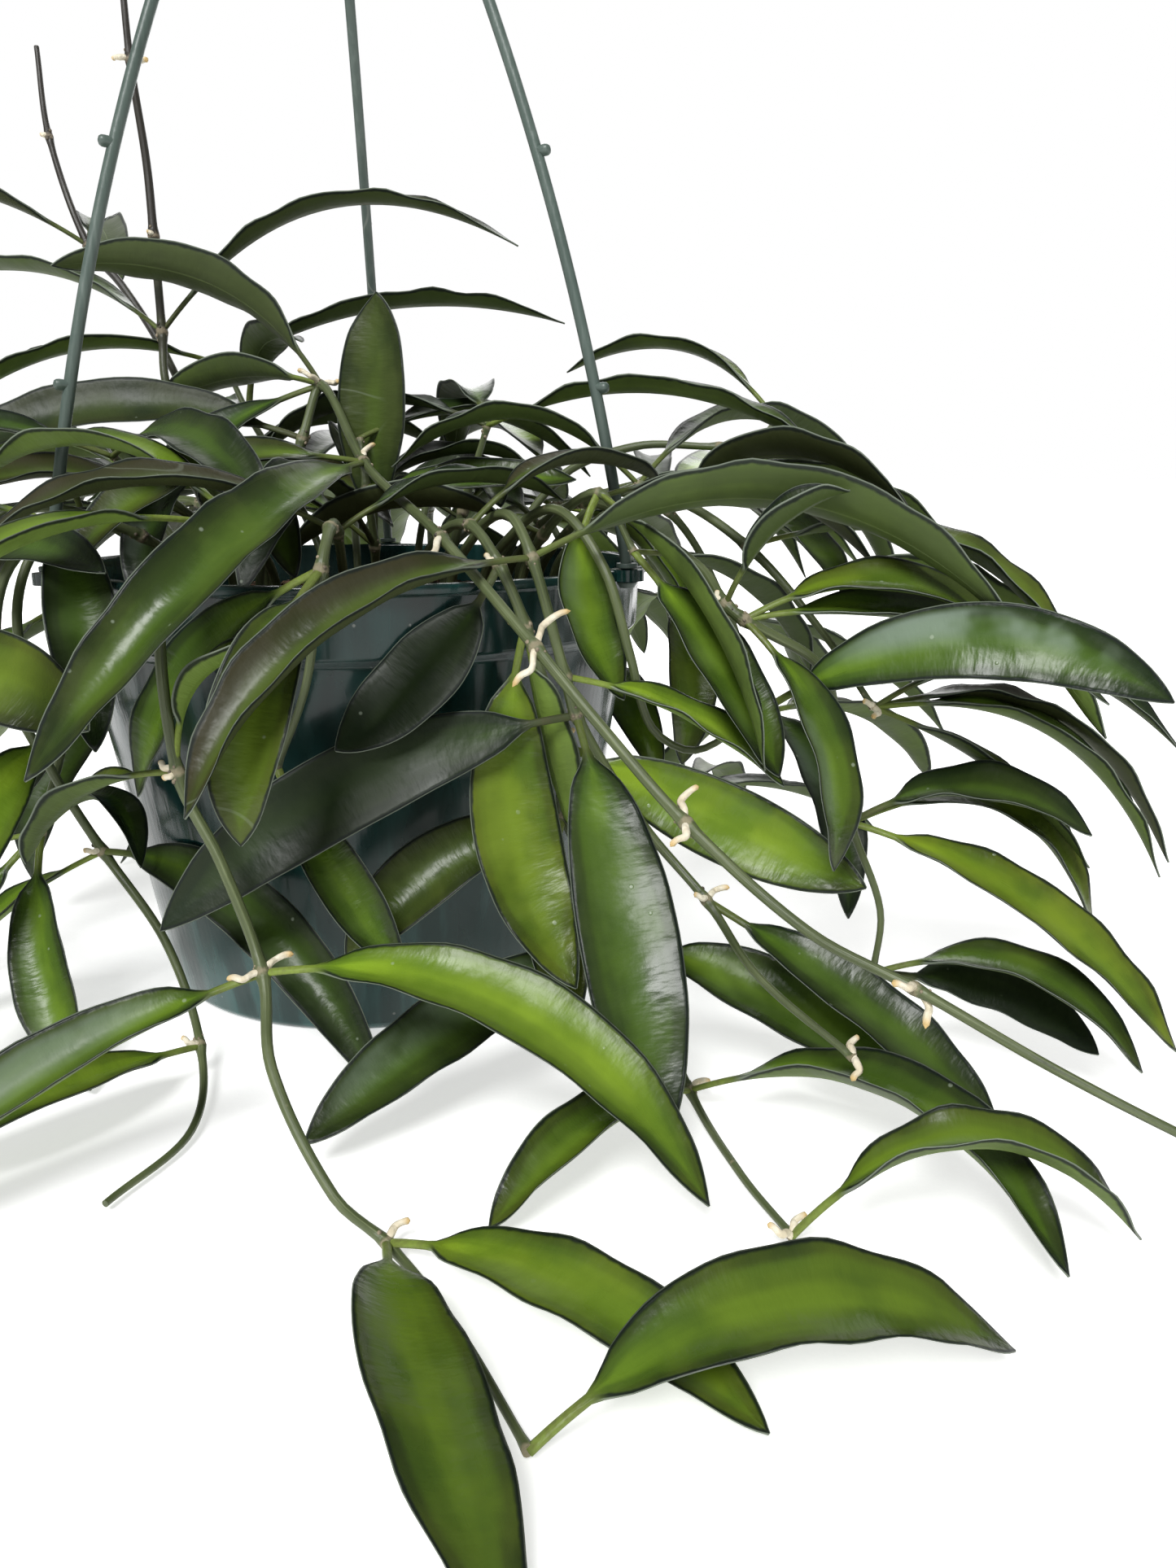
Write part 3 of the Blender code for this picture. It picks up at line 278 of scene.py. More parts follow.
# Colours, as linear red, green and blue
LEAF_COLOURS = (
    (0.0, (0.008, 0.018, 0.006)),
    (0.25, (0.019, 0.036, 0.009)),
    (0.5, (0.045, 0.090, 0.011)),
    (0.75, (0.098, 0.178, 0.014)),
    (1.0, (0.205, 0.335, 0.022)),
)
LEAF_YELLOW = (0.200, 0.260, 0.016)
LEAF_BRONZE = (0.033, 0.029, 0.013)
# The silvery grey of the bloom, which also paints a sheen on a leaf's top
LEAF_BLOOM_SHEEN = (0.195, 0.255, 0.200)
# Pale marks; the same colour paints the highlight along a leaf's edge
LEAF_MARK_AND_GLINT = (0.380, 0.440, 0.340)
LEAF_MARGIN = (0.004, 0.008, 0.006)
BACK_COLOURS = (
    (0.0, (0.016, 0.025, 0.008)),
    (0.45, (0.056, 0.086, 0.020)),
    (1.0, (0.165, 0.255, 0.040)),
)
BACK_MIDRIB = (0.150, 0.210, 0.055)
STALK_DARK = (0.055, 0.070, 0.025)
STALK_LIGHT = (0.200, 0.270, 0.050)
STALK_BROWN = (0.080, 0.062, 0.032)
STEM_COLOURS = (
    (0.2, (0.036, 0.048, 0.018)),
    (0.5, (0.078, 0.100, 0.038)),
    (0.8, (0.150, 0.180, 0.080)),
)
STEM_BROWN = (0.022, 0.019, 0.014)
CORK = (0.340, 0.280, 0.190)
ROOT_CREAM = (0.780, 0.730, 0.590)
ROOT_SHADE = (0.640, 0.560, 0.400)
ROOT_TIP = (0.600, 0.420, 0.170)
BASKET_COLOURS = (
    (0.0, (0.002, 0.015, 0.013)),
    (0.5, (0.007, 0.036, 0.033)),
    (1.0, (0.035, 0.105, 0.098)),
)
HANGER_COLOURS = (
    (0.0, (0.040, 0.062, 0.052)),
    (0.5, (0.075, 0.105, 0.090)),
    (1.0, (0.140, 0.175, 0.155)),
)
DUST = (0.420, 0.420, 0.380)
MIX_DARK = (0.018, 0.011, 0.007)
MIX_BROWN = (0.070, 0.042, 0.024)
MIX_PALE = (0.420, 0.380, 0.300)
BARK_DARK = (0.045, 0.024, 0.013)
BARK_BROWN = (0.170, 0.095, 0.050)
BARK_PALE = (0.330, 0.230, 0.140)
GROUND = (0.780, 0.780, 0.775)
GROUND_LOW = (0.760, 0.760, 0.755)
GROUND_GLOW = 0.60

# How fine the marks of each finish are, over a metre, and how deep its relief is, in metres
STEM_MARKS = {"grain": 700.0, "patch": 60.0}
ROOT_MARKS = {"grain": 1100.0, "patch": 300.0}
CALLUS_MARKS = {"grain": 1300.0, "patch": 200.0}
BASKET_MARKS = {"grain": 380.0, "patch": 14.0, "speck": 260.0}
HANGER_MARKS = {"grain": 800.0, "patch": 50.0, "speck": 300.0}
CRUMB_MARKS = {"patch": 120.0, "speck": 330.0}
MIX_GRAIN = 500.0
BARK_GRAIN = 900.0
MARGIN_GRAIN = 420.0
ROOT_LUMPS = 520.0
GROUND_TOOTH = 260.0
LEAF_RELIEF = 0.00022
STEM_RELIEF = 0.0003
ROOT_RELIEF = 0.0008
BASKET_RELIEF = 0.0005
HANGER_RELIEF = 0.0002
CRUMB_RELIEF = 0.0011
GROUND_RELIEF = 0.0001

# How fine the streaks of each finish are: along a leaf, across it and from leaf to leaf; across a stem
# and along it; across the plastics and up them
LEAF_STREAKS = (2.2, 3.0, 9.0)
LEAF_CRINKLES = (26.0, 1.6, 7.0)
LEAF_LINES = (95.0, 3.5, 7.0)
STEM_STREAKS = (2.2, 2.2, 0.035)
BASKET_STREAKS = (110.0, 110.0, 7.0)
HANGER_LINES = (700.0, 700.0, 12.0)

# Where each kind of shared mark starts and ends in its noise. A third and fourth number are what it has
# there, and without them it goes from 0 to 1, as everywhere below. A dried water mark follows one level
# of its noise, and the two shifts keep it and its places clear of the patches.
PATCH_SPAN = (0.28, 0.72)
RARE_SPECKS = (0.90, 0.93)
SPECK_EDGE = (0.08, 0.16, 1.0, 0.0)
MARK_SHIFT = (0.3, 0.1, 0.7)
MARK_LEVEL = 0.56
MARK_EDGE = (0.004, 0.012, 1.0, 0.0)
MARK_PLACES = (0.66, 0.74)
MARK_PLACES_SHIFT = (0.9, 0.4, 0.2)

# Where a leaf's colour changes: along the blade, with the stalk below 0, across it from its middle, from
# its top to its underside, in millimetres from its rim, over its patches, and with how light the leaf is.
# The margin's inner side wanders by RAGGED_BY millimetres, and a dark leaf is darker by DARK_SHADE.
STALK_END = (0.05, -0.03)
BLADE_BEGIN = (0.0, 0.05)
UNDERSIDE = (0.02, -0.02)
LIGHT_BY_STALK = (0.0, 0.34, 0.22, 0.0)
LIGHT_BY_MIDDLE = (0.0, 0.5, 0.12, 0.0)
DARK_BY_RIM = (0.5, 5.5, 0.34, 0.0)
DARK_BY_TIP = (0.70, 1.0)
TIP_DARKENING = 0.20
YELLOW_BY_PATCH = (0.0, 0.9, 0.2, 0.7)
BRONZE_BY_EDGE = (0.1, 0.75, 0.35, 1.0)
BRONZE_BY_PATCH = (0.0, 0.7, 0.6, 1.0)
STALK_BY_LIGHT = (0.1, 0.8)
STALK_BROWNING = (0.4, 0.65)
DULL_BY_DARKNESS = (0.08, 0.45, 0.14, 0.0)
DULL_STREAKS = (0.3, 0.7)
RAGGED_BY = 0.7
DARK_SHADE = -0.05

# The leaf's finish: how far from the rim its margin, the painted highlight along its edge and the bloom with
# its painted sheen start and end, in millimetres, and how much of their colour they take. The bloom's edge
# across the leaf, its two ends along it and the midrib are shares of its size.
MARGIN_WIDTH = (0.65, 1.40)
MARGIN_SHARE = 0.93
EDGE_GLINT_WIDTH = (0.12, 0.38)
EDGE_GLINT_SHARE = 0.42
BLOOM_SHEEN_INSET = (0.8, 3.0)
BLOOM_SHEEN_EDGE = (0.30, -0.45)
BLOOM_SHEEN_START = (0.05, 0.3)
BLOOM_SHEEN_END = (0.97, 0.75)
BLOOM_SHEEN_PATCHES = (0.15, 0.85)
BLOOM_SHEEN_SHARE = 0.34
MIDRIB_STRIPE = (0.0, 0.045)
MIDRIB_SHARE = 0.35
MIDRIB_RIDGE = (0.0, 0.05)

# Where the other finishes change: a stem to its browns and to the cork of its knots, whose rings stand
# by RING_RATE and RING_SHIFT, a root to its tip, the basket up its wall in metres, where its foot is painted
# lighter as painted light, and over its patches, and the mix from crumb to crumb
STEM_BROWNING = (0.3, 0.95)
CORK_START = (0.62, 1.0)
RING_RATE = 2.4
RING_SHIFT = 5.0
ROOT_TIP_START = (0.72, 0.98)
BASKET_STREAK_SPAN = (0.25, 0.8)
BASKET_FOOT = (0.004, 0.09, 1.0, 0.0)
DUSTY_PATCHES = (0.55, 0.95)
DUSTY_FOOT = (0.0, 0.03, 1.0, 0.25)
CRUMB_SPAN = (0.35, 0.65)
PALE_GRAINS = (0.8, 1.0)

# How rough each finish is at its smoothest, and plain numbers of the shader. A number that stands in a
# finish's own formula is the share that the mark beside it has there.
LEAF_ROUGHNESS = 0.22
STEM_ROUGHNESS = 0.42
ROOT_ROUGHNESS = 0.58
CALLUS_ROUGHNESS = 0.55
BASKET_ROUGHNESS = 0.13
HANGER_ROUGHNESS = 0.33
CRUMB_ROUGHNESS = 0.7
GROUND_ROUGHNESS = 0.75
LEAF_SPECULAR = 0.26
BASKET_PLASTIC = {"IOR": 1.49, "Transmission_Weight": 0.22, "Specular_IOR_Level": 0.40}

# Camera, ground and lights, in metres, degrees and watts
CAMERA_PLACE = (0.0475, -0.4207, 0.1745)
CAMERA_TURN = (75, 0, -4.4)
CAMERA_LENS = 26.6
SENSOR = 36
NEAREST_SEEN = 0.01
GROUND_SIZE = 30
ROOM_LIGHT = 0.24
SUN_TURN = (38, -18, 0)
SUN_WIDTH = 22
SUN_LIGHT = 3.4
PANEL_PLACE = (0.25, 1.5, 0.95)
PANEL_AIM = (0, 0, 0.12)
PANEL_SIZE = 1.4
PANEL_LIGHT = 16

# The growing plan, as the solids have it: each stem's hole in the mix, the points that it passes after it,
# its leaves and its roots. A leaf is given by the point that it grows from, the heading, pitch and reach
# from there to its tip, how far its middle stands over that line and to its left, and the width of its
# blade. Its roll, its fold and its tone follow where they aren't the common ones. A root is given by its
# point, heading, pitch and length.
PLAN = [
    Vine(
        "stem_whip_long",
        (-34, -12),
        [
            (-26, -4, 165), (-18, -2, 186), (-12, 7, 204), (5, -27, 178), (32, -86, 157),
            (57, -123, 131), (73, -140, 113), (91, -159, 94), (117, -178, 73), (138, -190, 64),
            (163, -205, 52), (185, -218, 43), (212, -232, 33),
        ],
        [
            Leaf(1, 184, -6, 128, 16, -7, 22, -50, tone=(0.08, 0.10, 0.30, 0.00)),
            Leaf(2, 169, 23, 102, 16, -10, 20, 50, tone=DUSKY),
            Leaf(2, 233, -40, 109, 12, -17, 20, -15, tone=SILVER),
            Leaf(2, 151, -4, 74, 7, -2, 18, 35),
            Leaf(3, 231, -34, 145, 18, 21, 25, -25, 30, tone=(0.40, 0.15, 0.15, 0.05)),
            Leaf(3, 215, -17, 99, 13, -8, 20, -30, tone=(0.42, 0.30, 0.55, 0.30)),
        ],
        [
            Root(2, 200, 30, 9), Root(2, 330, 5, 8), Root(3, 60, 40, 9), Root(4, 225, -30, 15),
            Root(4, 40, 10, 14), Root(5, 40, 35, 15), Root(5, 215, -50, 12), Root(7, 60, 40, 11),
            Root(7, 230, -30, 8), Root(9, 200, 20, 7), Root(9, 290, -60, 9),
        ],
    ),
    Vine(
        "stem_trail_front_left",
        (-22, -44),
        [
            (-26, -66, 158), (-33, -92, 162), (-38, -116, 146), (-37, -120, 99), (-26, -128, 77),
            (-15, -139, 50), (-10, -160, 34), (7, -183, 13), (19, -187, 3), (36, -216, 2.5), (50, -248, 2.5),
        ],
        [
            Leaf(3, 356, 45, 46, 12, 2, 14, 0, 35, tone=YOUNG),
            Leaf(3, 160, -30, 60, 8, 0, 15, 0, 35),
            Leaf(5, 336, -19, 126, 18, 9, 23, 25, tone=BRIGHT),
            Leaf(5, 207, -24, 112, 6, -4, 23, -20, 38, tone=(0.52, 0.20, 0.00, 1.20)),
            Leaf(8, 286, 0, 105, 11, -5, 25, -20, 16, tone=(0.56, 0.30, 0.00, 0.05)),
            Leaf(8, 321, 0, 97, 9, 2, 20, 10, 20, tone=(0.72, 0.55, 0.00, 0.35)),
            Leaf(10, 8, 2, 98, 17, 4, 25, 12, 20, tone=(0.56, 0.30, 0.00, 0.05)),
        ],
        [
            Root(3, 150, 20, 6), Root(3, 200, -20, 4), Root(5, 20, 25, 9), Root(5, 190, -5, 9),
            Root(8, 30, 30, 7),
        ],
    ),
    Vine(
        "stem_trail_left_thin",
        (-48, -34),
        [
            (-62, -46, 156), (-80, -63, 160), (-93, -74, 146), (-99, -70, 118), (-92, -57, 82),
            (-83, -49, 55), (-60, -69, 31), (-44, -98, 9), (-38, -135, 3), (-51, -166, 2.5),
        ],
        [
            Leaf(5, 324, -24, 127, 20, 2, 21, 25, tone=DEEP),
            Leaf(5, 200, -40, 80, 8, 0, 18),
            Leaf(7, 222, -3, 100, 8, 6, 20, -10, tone=(0.54, 0.45, 0.00, 0.05)),
        ],
        [Root(5, 200, 10, 6), Root(7, 180, 30, 6)],
    ),
    Vine(
        "stem_trail_centre",
        (32, -46),
        [
            (42, -63, 158), (51, -80, 163), (57, -94, 152), (66, -97, 119), (69, -98, 108),
            (88, -100, 76), (105, -114, 57), (115, -137, 44), (134, -164, 33),
        ],
        [
            Leaf(2, 200, -35, 112, 14, -5, 22, -25, 40, tone=BRONZE),
            Leaf(2, 344, -7, 130, 24, 14, 22, -40, tone=(0.40, 0.20, 0.15, 0.30)),
            Leaf(4, 189, -25, 129, 11, -1, 25, -65, 12, tone=(0.08, 0.00, 0.15, 0.00)),
            Leaf(4, 282, -52, 121, 5, 1, 27, 10, 12, tone=(0.38, 0.08, 0.00, 0.00)),
            Leaf(3, 350, -27, 68, 4, 8, 16, 15),
            Leaf(6, 325, -28, 95, 3, 0, 20, 25, tone=(0.34, 0.10, 0.05, 0.15)),
        ],
        [
            Root(4, 100, 30, 5), Root(6, 20, 20, 8), Root(6, 200, 30, 5), Root(8, 60, 40, 6),
            Root(8, 250, -40, 6),
        ],
    ),
    Vine(
        "stem_trail_middle",
        (20, -40),
        [
            (30, -56, 156), (40, -78, 160), (48, -93, 150), (55, -93, 133), (65, -88, 98),
            (66, -86, 75), (84, -96, 39), (99, -128, 5), (106, -167, 3), (113, -191, 2.5),
        ],
        [
            Leaf(2, 185, -48, 70, -5, -4, 23, -60, 10, tone=DARK),
            Leaf(3, 288, -67, 103, -10, -8, 26, 10, 14, tone=(0.58, 0.60, 0.00, 0.05)),
            Leaf(3, 9, -79, 61, 0, 5, 18, -25, tone=BRIGHT),
            Leaf(4, 337, -21, 98, -2, 4, 24, 60, 12, tone=(0.78, 0.50, 0.00, 0.05)),
            Leaf(5, 198, -29, 77, 8, -2, 23, -50, tone=(0.35, 0.30, 0.20, 0.10)),
            Leaf(5, 272, -55, 62, 0, -6, 20, -15, tone=OLIVE),
            Leaf(6, 327, -16, 94, 1, 5, 24, 35, tone=MID),
            Leaf(6, 213, -16, 110, 3, -4, 23, -30, tone=(0.36, 0.10, 0.00, 0.80)),
            Leaf(7, 310, 0, 106, 17, 13, 22, 0, 36, tone=MID),
            Leaf(7, 225, -1, 80, 10, 2, 20, 0, 36, tone=(0.60, 0.40, 0.10, 0.40)),
            Leaf(9, 352, 2, 79, 26, -2, 18, 0, 36, tone=(0.60, 0.35, 0.10, 1.00)),
        ],
        [
            Root(2, 150, 30, 5), Root(3, 170, 10, 5), Root(4, 30, 30, 6), Root(7, 20, 10, 7),
            Root(9, 180, 30, 7), Root(9, 30, 40, 6),
        ],
    ),
    Vine(
        "stem_trail_right",
        (50, -20),
        [
            (62, -36, 158), (75, -53, 166), (88, -67, 161), (106, -85, 148), (111, -98, 139),
            (116, -100, 135), (139, -99, 121), (146, -95, 100), (151, -97, 74), (159, -105, 49),
            (157, -108, 30),
        ],
        [
            Leaf(4, 356, 44, 40, 6, 0, 16, 0, 45),
            Leaf(5, 343, -1, 70, 11, 5, 18, 25),
            Leaf(5, 346, -12, 101, 11, 6, 20, 20),
            Leaf(5, 303, -60, 74, 8, 4, 19, tone=(0.45, 0.20, 0.00, 0.90)),
            Leaf(5, 356, -18, 111, 26, 15, 20, -30),
            Leaf(8, 334, 3, 66, 11, 3, 20, 20, tone=(0.26, 0.10, 0.00, 0.10)),
            Leaf(8, 345, -23, 78, 22, 8, 18, 25, tone=OLIVE),
            Leaf(8, 330, -30, 108, 9, 3, 21, 20, tone=(0.62, 0.80, 0.15, 0.15)),
            Leaf(10, 327, -10, 76, 14, 6, 19, 10, tone=(0.42, 0.20, 0.10, 0.90)),
            Leaf(10, 337, -14, 66, 2, 10, 20, 25, tone=DARK),
        ],
        [Root(4, 120, 40, 5), Root(8, 200, 10, 5)],
    ),
    Vine(
        "stem_side_right",
        (42, -33),
        [
            (54, -52, 158), (66, -71, 164), (78, -86, 148), (85, -91, 124), (92, -89, 102), (105, -89, 95),
            (121, -97, 107),
        ],
        [
            Leaf(6, 340, 4, 98, 17, 3, 21, 60, 14, tone=(0.46, 0.05, 0.00, OTHER_HALF + 2.20)),
            Leaf(6, 30, -20, 90, 12, 0, 20),
        ],
        [],
    ),
    Vine(
        "stem_far_right",
        (67, 0),
        [(84, -10, 160), (103, -27, 167), (127, -50, 152), (148, -70, 126), (160, -84, 106)],
        [
            Leaf(4, 330, -32, 78, 6, 3, 18),
            Leaf(4, 343, -29, 98, 19, 9, 19),
            Leaf(4, 352, -27, 104, 22, 12, 18),
            Leaf(4, 345, -6, 100, 21, 6, 20, tone=SILVER),
            Leaf(2, 322, -20, 104, 20, 4, 20, tone=OLIVE),
        ],
        [Root(4, 250, -20, 6), Root(4, 200, 30, 5)],
    ),
    Vine(
        "stem_rim_right",
        (55, -36),
        [(62, -50, 156), (78, -66, 169), (88, -72, 152)],
        [
            Leaf(1, 280, -56, 66, 3, -10, 21, -20, tone=(0.62, 0.20, 0.00, 0.80)),
            Leaf(1, 315, -54, 95, 7, 3, 20, tone=MID),
            Leaf(2, 322, -54, 78, 2, 0, 21, 25, tone=MID),
            Leaf(2, 20, -30, 80, 12, 0, 20),
        ],
        [],
    ),
    Vine(
        "stem_whip_left_front",
        (-50, 20),
        [
            (-62, 28, 170), (-71, 33, 206), (-72, 38, 224), (-72, 38, 256), (-73, 41, 280),
            (-76, 43, 313), (-78, 49, 348), (-80, 52, 374),
        ],
        [
            Leaf(2, 161, 11, 105, 13, -4, 19),
            Leaf(2, 350, 12, 134, 29, 7, 20, 10, tone=DUSKY),
        ],
        [Root(5, 180, 0, 6), Root(5, 0, 0, 6), Root(3, 230, 20, 3)],
    ),
    Vine(
        "stem_whip_left_back",
        (-42, 40),
        [(-58, 48, 175), (-78, 60, 220), (-93, 66, 244), (-105, 70, 258), (-119, 82, 298), (-123, 91, 331)],
        [Leaf(3, 194, 5, 100, 14, -2, 19), Leaf(3, 100, 0, 95, 16, 0, 19)],
        [Root(4, 180, 10, 3)],
    ),
    Vine(
        "stem_crown_back_left",
        (-18, 34),
        [(-30, 44, 168), (-46, 52, 196), (-54, 56, 214)],
        [
            Leaf(2, 358, 7, 130, 14, 4, 21, tone=(0.26, 0.10, 0.15, 0.15)),
            Leaf(2, 205, -14, 105, 16, 0, 20),
            Leaf(1, 300, 25, 62, 14, -2, 18),
            Leaf(1, 120, -14, 110, 18, 0, 20),
        ],
        [],
    ),
    Vine(
        "stem_crown_middle",
        (4, 2),
        [(5, -5, 150), (4, -13, 170), (2, -8, 186)],
        [
            Leaf(0, 65, 84, 84, 2, -1, 27, 0, 12, tone=(0.20, 0.20, 0.15, 0.05)),
            Leaf(1, 339, 2, 74, 1, -7, 16, 40),
            Leaf(0, 250, -6, 86, 26, 0, 20),
            Leaf(0, 190, 8, 90, 16, 0, 20),
        ],
        [],
    ),
    Vine(
        "stem_crown_front",
        (30, -8),
        [(36, -8, 162), (45, -11, 190)],
        [
            Leaf(1, 332, -6, 118, 16, 5, 21, tone=MID),
            Leaf(1, 150, -4, 95, 12, 0, 20),
            Leaf(0, 285, 10, 60, 14, 0, 18, 0, 36, tone=YOUNG),
        ],
        [],
    ),
    Vine(
        "stem_crown_right",
        (61, -14),
        [(75, -26, 160), (93, -40, 171), (101, -46, 168)],
        [
            Leaf(1, 182, 4, 78, 18, -4, 20, tone=(0.36, 0.05, 0.10, 0.60)),
            Leaf(1, 20, 0, 90, 22, 8, 21),
            Leaf(2, 350, -12, 95, 16, 0, 20),
        ],
        [],
    ),
    Vine(
        "stem_shoot_right",
        (50, 20),
        [(70, 20, 172), (98, 15, 184), (128, 10, 184), (142, 9, 186), (149, 12, 193)],
        [
            Leaf(4, 154, 13, 84, 17, -4, 18, tone=OLIVE),
            Leaf(4, 309, -45, 42, 8, 6, 14),
            Leaf(2, 15, -35, 95, 14, 0, 20),
        ],
        [],
    ),
    Vine(
        "stem_trail_left_far",
        (-66, -6),
        [
            (-86, -12, 160), (-112, -20, 162), (-137, -40, 137), (-131, -78, 119), (-128, -93, 98),
            (-124, -104, 60),
        ],
        [
            Leaf(2, 344, 2, 78, 9, 5, 20, 40),
            Leaf(2, 180, -12, 105, 18, 0, 20),
            Leaf(3, 333, -7, 80, 8, 1, 26, 60, 14, tone=OLIVE),
            Leaf(3, 205, -25, 95, 14, 0, 21),
            Leaf(5, 250, -30, 80, 8, 0, 20),
            Leaf(5, 170, -20, 90, 10, 0, 20),
        ],
        [],
    ),
    Vine(
        "stem_trail_left_near",
        (-60, -18),
        [(-78, -30, 160), (-96, -40, 152), (-100, -52, 126), (-92, -46, 98), (-99, -56, 64), (-102, -62, 34)],
        [
            Leaf(3, 245, -42, 100, 9, 1, 23, -35, 16, tone=BRIGHT),
            Leaf(4, 296, -46, 86, -4, -6, 20, 30, tone=MID),
            Leaf(4, 335, -10, 40, 16, 5, 14),
            Leaf(4, 262, -50, 66, 0, -14, 14),
            Leaf(4, 165, -40, 80, 12, 0, 20),
        ],
        [Root(4, 230, 20, 6)],
    ),
    Vine(
        "stem_rim_front",
        (0, -52),
        [(1, -70, 158), (2, -92, 160), (1, -106, 150), (-6, -99, 118), (-16, -96, 94)],
        [
            Leaf(2, 244, -58, 76, 10, 0, 22, tone=(0.45, 0.35, 0.10, 0.10)),
            Leaf(2, 186, -48, 80, 10, 0, 21, -40, tone=MID),
            Leaf(4, 312, -42, 74, 4, -6, 19, 10, 34, tone=MID),
        ],
        [],
    ),
    Vine(
        "stem_crown_left",
        (-46, 4),
        [(-56, 0, 158), (-70, -8, 172), (-78, -14, 180)],
        [
            Leaf(0, 214, -2, 96, 18, 0, 21, -20),
            Leaf(1, 150, -2, 104, 16, 0, 21),
            Leaf(1, 262, -22, 96, 18, 0, 21),
            Leaf(2, 196, -10, 112, 18, 0, 21, -30, tone=SILVER),
            Leaf(2, 318, -14, 84, 14, 0, 20, 30),
        ],
        [],
    ),
]

# The rest of the crown's leaves, placed after the plan's: the stem's name, then the leaf's node, heading,
# pitch, reach, arch and width
CROWN_LEAVES = [
    ("stem_rim_front", 0, 196, -2, 92, 14, 21),
    ("stem_rim_front", 0, 20, 6, 72, 10, 20),
    ("stem_rim_front", 1, 160, -6, 88, 16, 22),
    ("stem_trail_front_left", 0, 20, 10, 80, 16, 21),
    ("stem_trail_front_left", 0, 160, 8, 84, 15, 21),
    ("stem_trail_front_left", 1, 222, -22, 94, 14, 21),
    ("stem_trail_left_thin", 0, 130, 6, 86, 14, 20),
    ("stem_trail_left_thin", 0, 305, -12, 88, 18, 21),
    ("stem_trail_left_thin", 1, 205, -6, 92, 14, 21),
    ("stem_trail_left_thin", 1, 285, -32, 92, 14, 21),
    ("stem_trail_middle", 0, 60, 12, 84, 15, 20),
    ("stem_trail_right", 0, 130, 14, 86, 14, 21),
    ("stem_trail_right", 1, 348, -16, 88, 14, 20),
    ("stem_trail_right", 1, 262, -28, 84, 14, 21),
    ("stem_far_right", 1, 40, 4, 94, 16, 21),
    ("stem_far_right", 1, 315, -8, 86, 16, 20),
    ("stem_whip_left_front", 0, 205, 0, 98, 16, 22),
    ("stem_whip_left_front", 0, 325, -4, 92, 16, 21),
    ("stem_whip_left_back", 0, 20, 6, 92, 16, 21),
    ("stem_crown_left", 0, 300, -8, 92, 16, 21),
    ("stem_crown_middle", 2, 205, -4, 90, 16, 21),
    ("stem_crown_middle", 2, 20, -6, 88, 16, 21),
    ("stem_crown_front", 0, 200, -4, 88, 16, 21),
    ("stem_rim_right", 0, 178, -2, 84, 15, 20),
    ("stem_crown_front", 0, 60, 4, 84, 14, 21),
    ("stem_crown_front", 1, 100, -8, 90, 16, 21),
    ("stem_shoot_right", 0, 120, 6, 92, 16, 21),
    ("stem_shoot_right", 0, 215, 2, 80, 14, 20),
    ("stem_crown_middle", 1, 100, 4, 88, 16, 21),
    ("stem_crown_back_left", 0, 70, 6, 92, 16, 21),
    ("stem_trail_middle", 1, 24, 10, 66, 12, 18),
]

# The stems that the front view hides, spread by rule over the rest of the mix and rim. A range is the
# least and most of a draw.
SIDE_STEMS = 8
SIDE_SPREAD = 176
SIDE_HOLES = (46, 66)
SIDE_RIM_PLACES = (84, 112)
SIDE_RIM_RISE = (14, 34)
SIDE_SWING = (118, 158)
SIDE_FALL = (10, 100)
SIDE_DRIFT = (-10, 10)
SIDE_RISES = (0.8, 0.6)
SIDE_DRIFTS = (0, 0.4, 0.7, 1)
SIDE_BULGE = 0.93
SIDE_DROP = 22
SIDE_LOWEST = 40
SIDE_LONGEST = 140
SIDE_HIGH_NODES = 2
SIDE_LEAF_PLANES = (25, 90)
SIDE_LEAF_TURN = (-22, 22)
SIDE_HIGH_PITCH = (-34, -6)
SIDE_LOW_PITCH = (-52, -22)
SIDE_LEAF_REACH = (86, 122)
SIDE_LEAF_ARCH = (8, 20)
SIDE_LEAF_SWAY = (-6, 6)
SIDE_LEAF_WIDTH = (19, 24)
LEAF_TRIES = 14
NEW_HEADING = (-38, 38)
NEW_PITCH = (-24, 24)
NEW_REACH = (0.8, 1.0)
NEW_ARCH = (4, 20)
NEW_ROLL = (-30, 30)
SEED = 27
TONE_SEED = 8

# One stem in so many has the dark leaves
DARK_LEAF_EVERY = 3

# How fine the dressed leaves, stems and roots are
BLADE_SIDES = 16
BLADE_RINGS = 38
STEM_SIDES = 12
ROOT_SIDES = 10


def value_kind(name):
    """The kind of a value that each point of a mesh carries, by its name."""
    if name.endswith(("_at", "_way")):
        return "FLOAT_VECTOR"
    return {"part": "INT", "tone": "FLOAT_COLOR"}.get(name, "FLOAT")


class Wire:
    """A node's output that can stand in a plain formula."""

    def __init__(self, sheet, socket):
        self.sheet = sheet
        self.socket = socket

    def __add__(self, other):
        return self.sheet.math("ADD", self, other)

    def __sub__(self, other):
        return self.sheet.math("SUBTRACT", self, other)

    def __mul__(self, other):
        return self.sheet.math("MULTIPLY", self, other)

    def __truediv__(self, other):
        return self.sheet.math("DIVIDE", self, other)

    def __rsub__(self, other):
        return self.sheet.math("SUBTRACT", other, self)

    __radd__ = __add__
    __rmul__ = __mul__


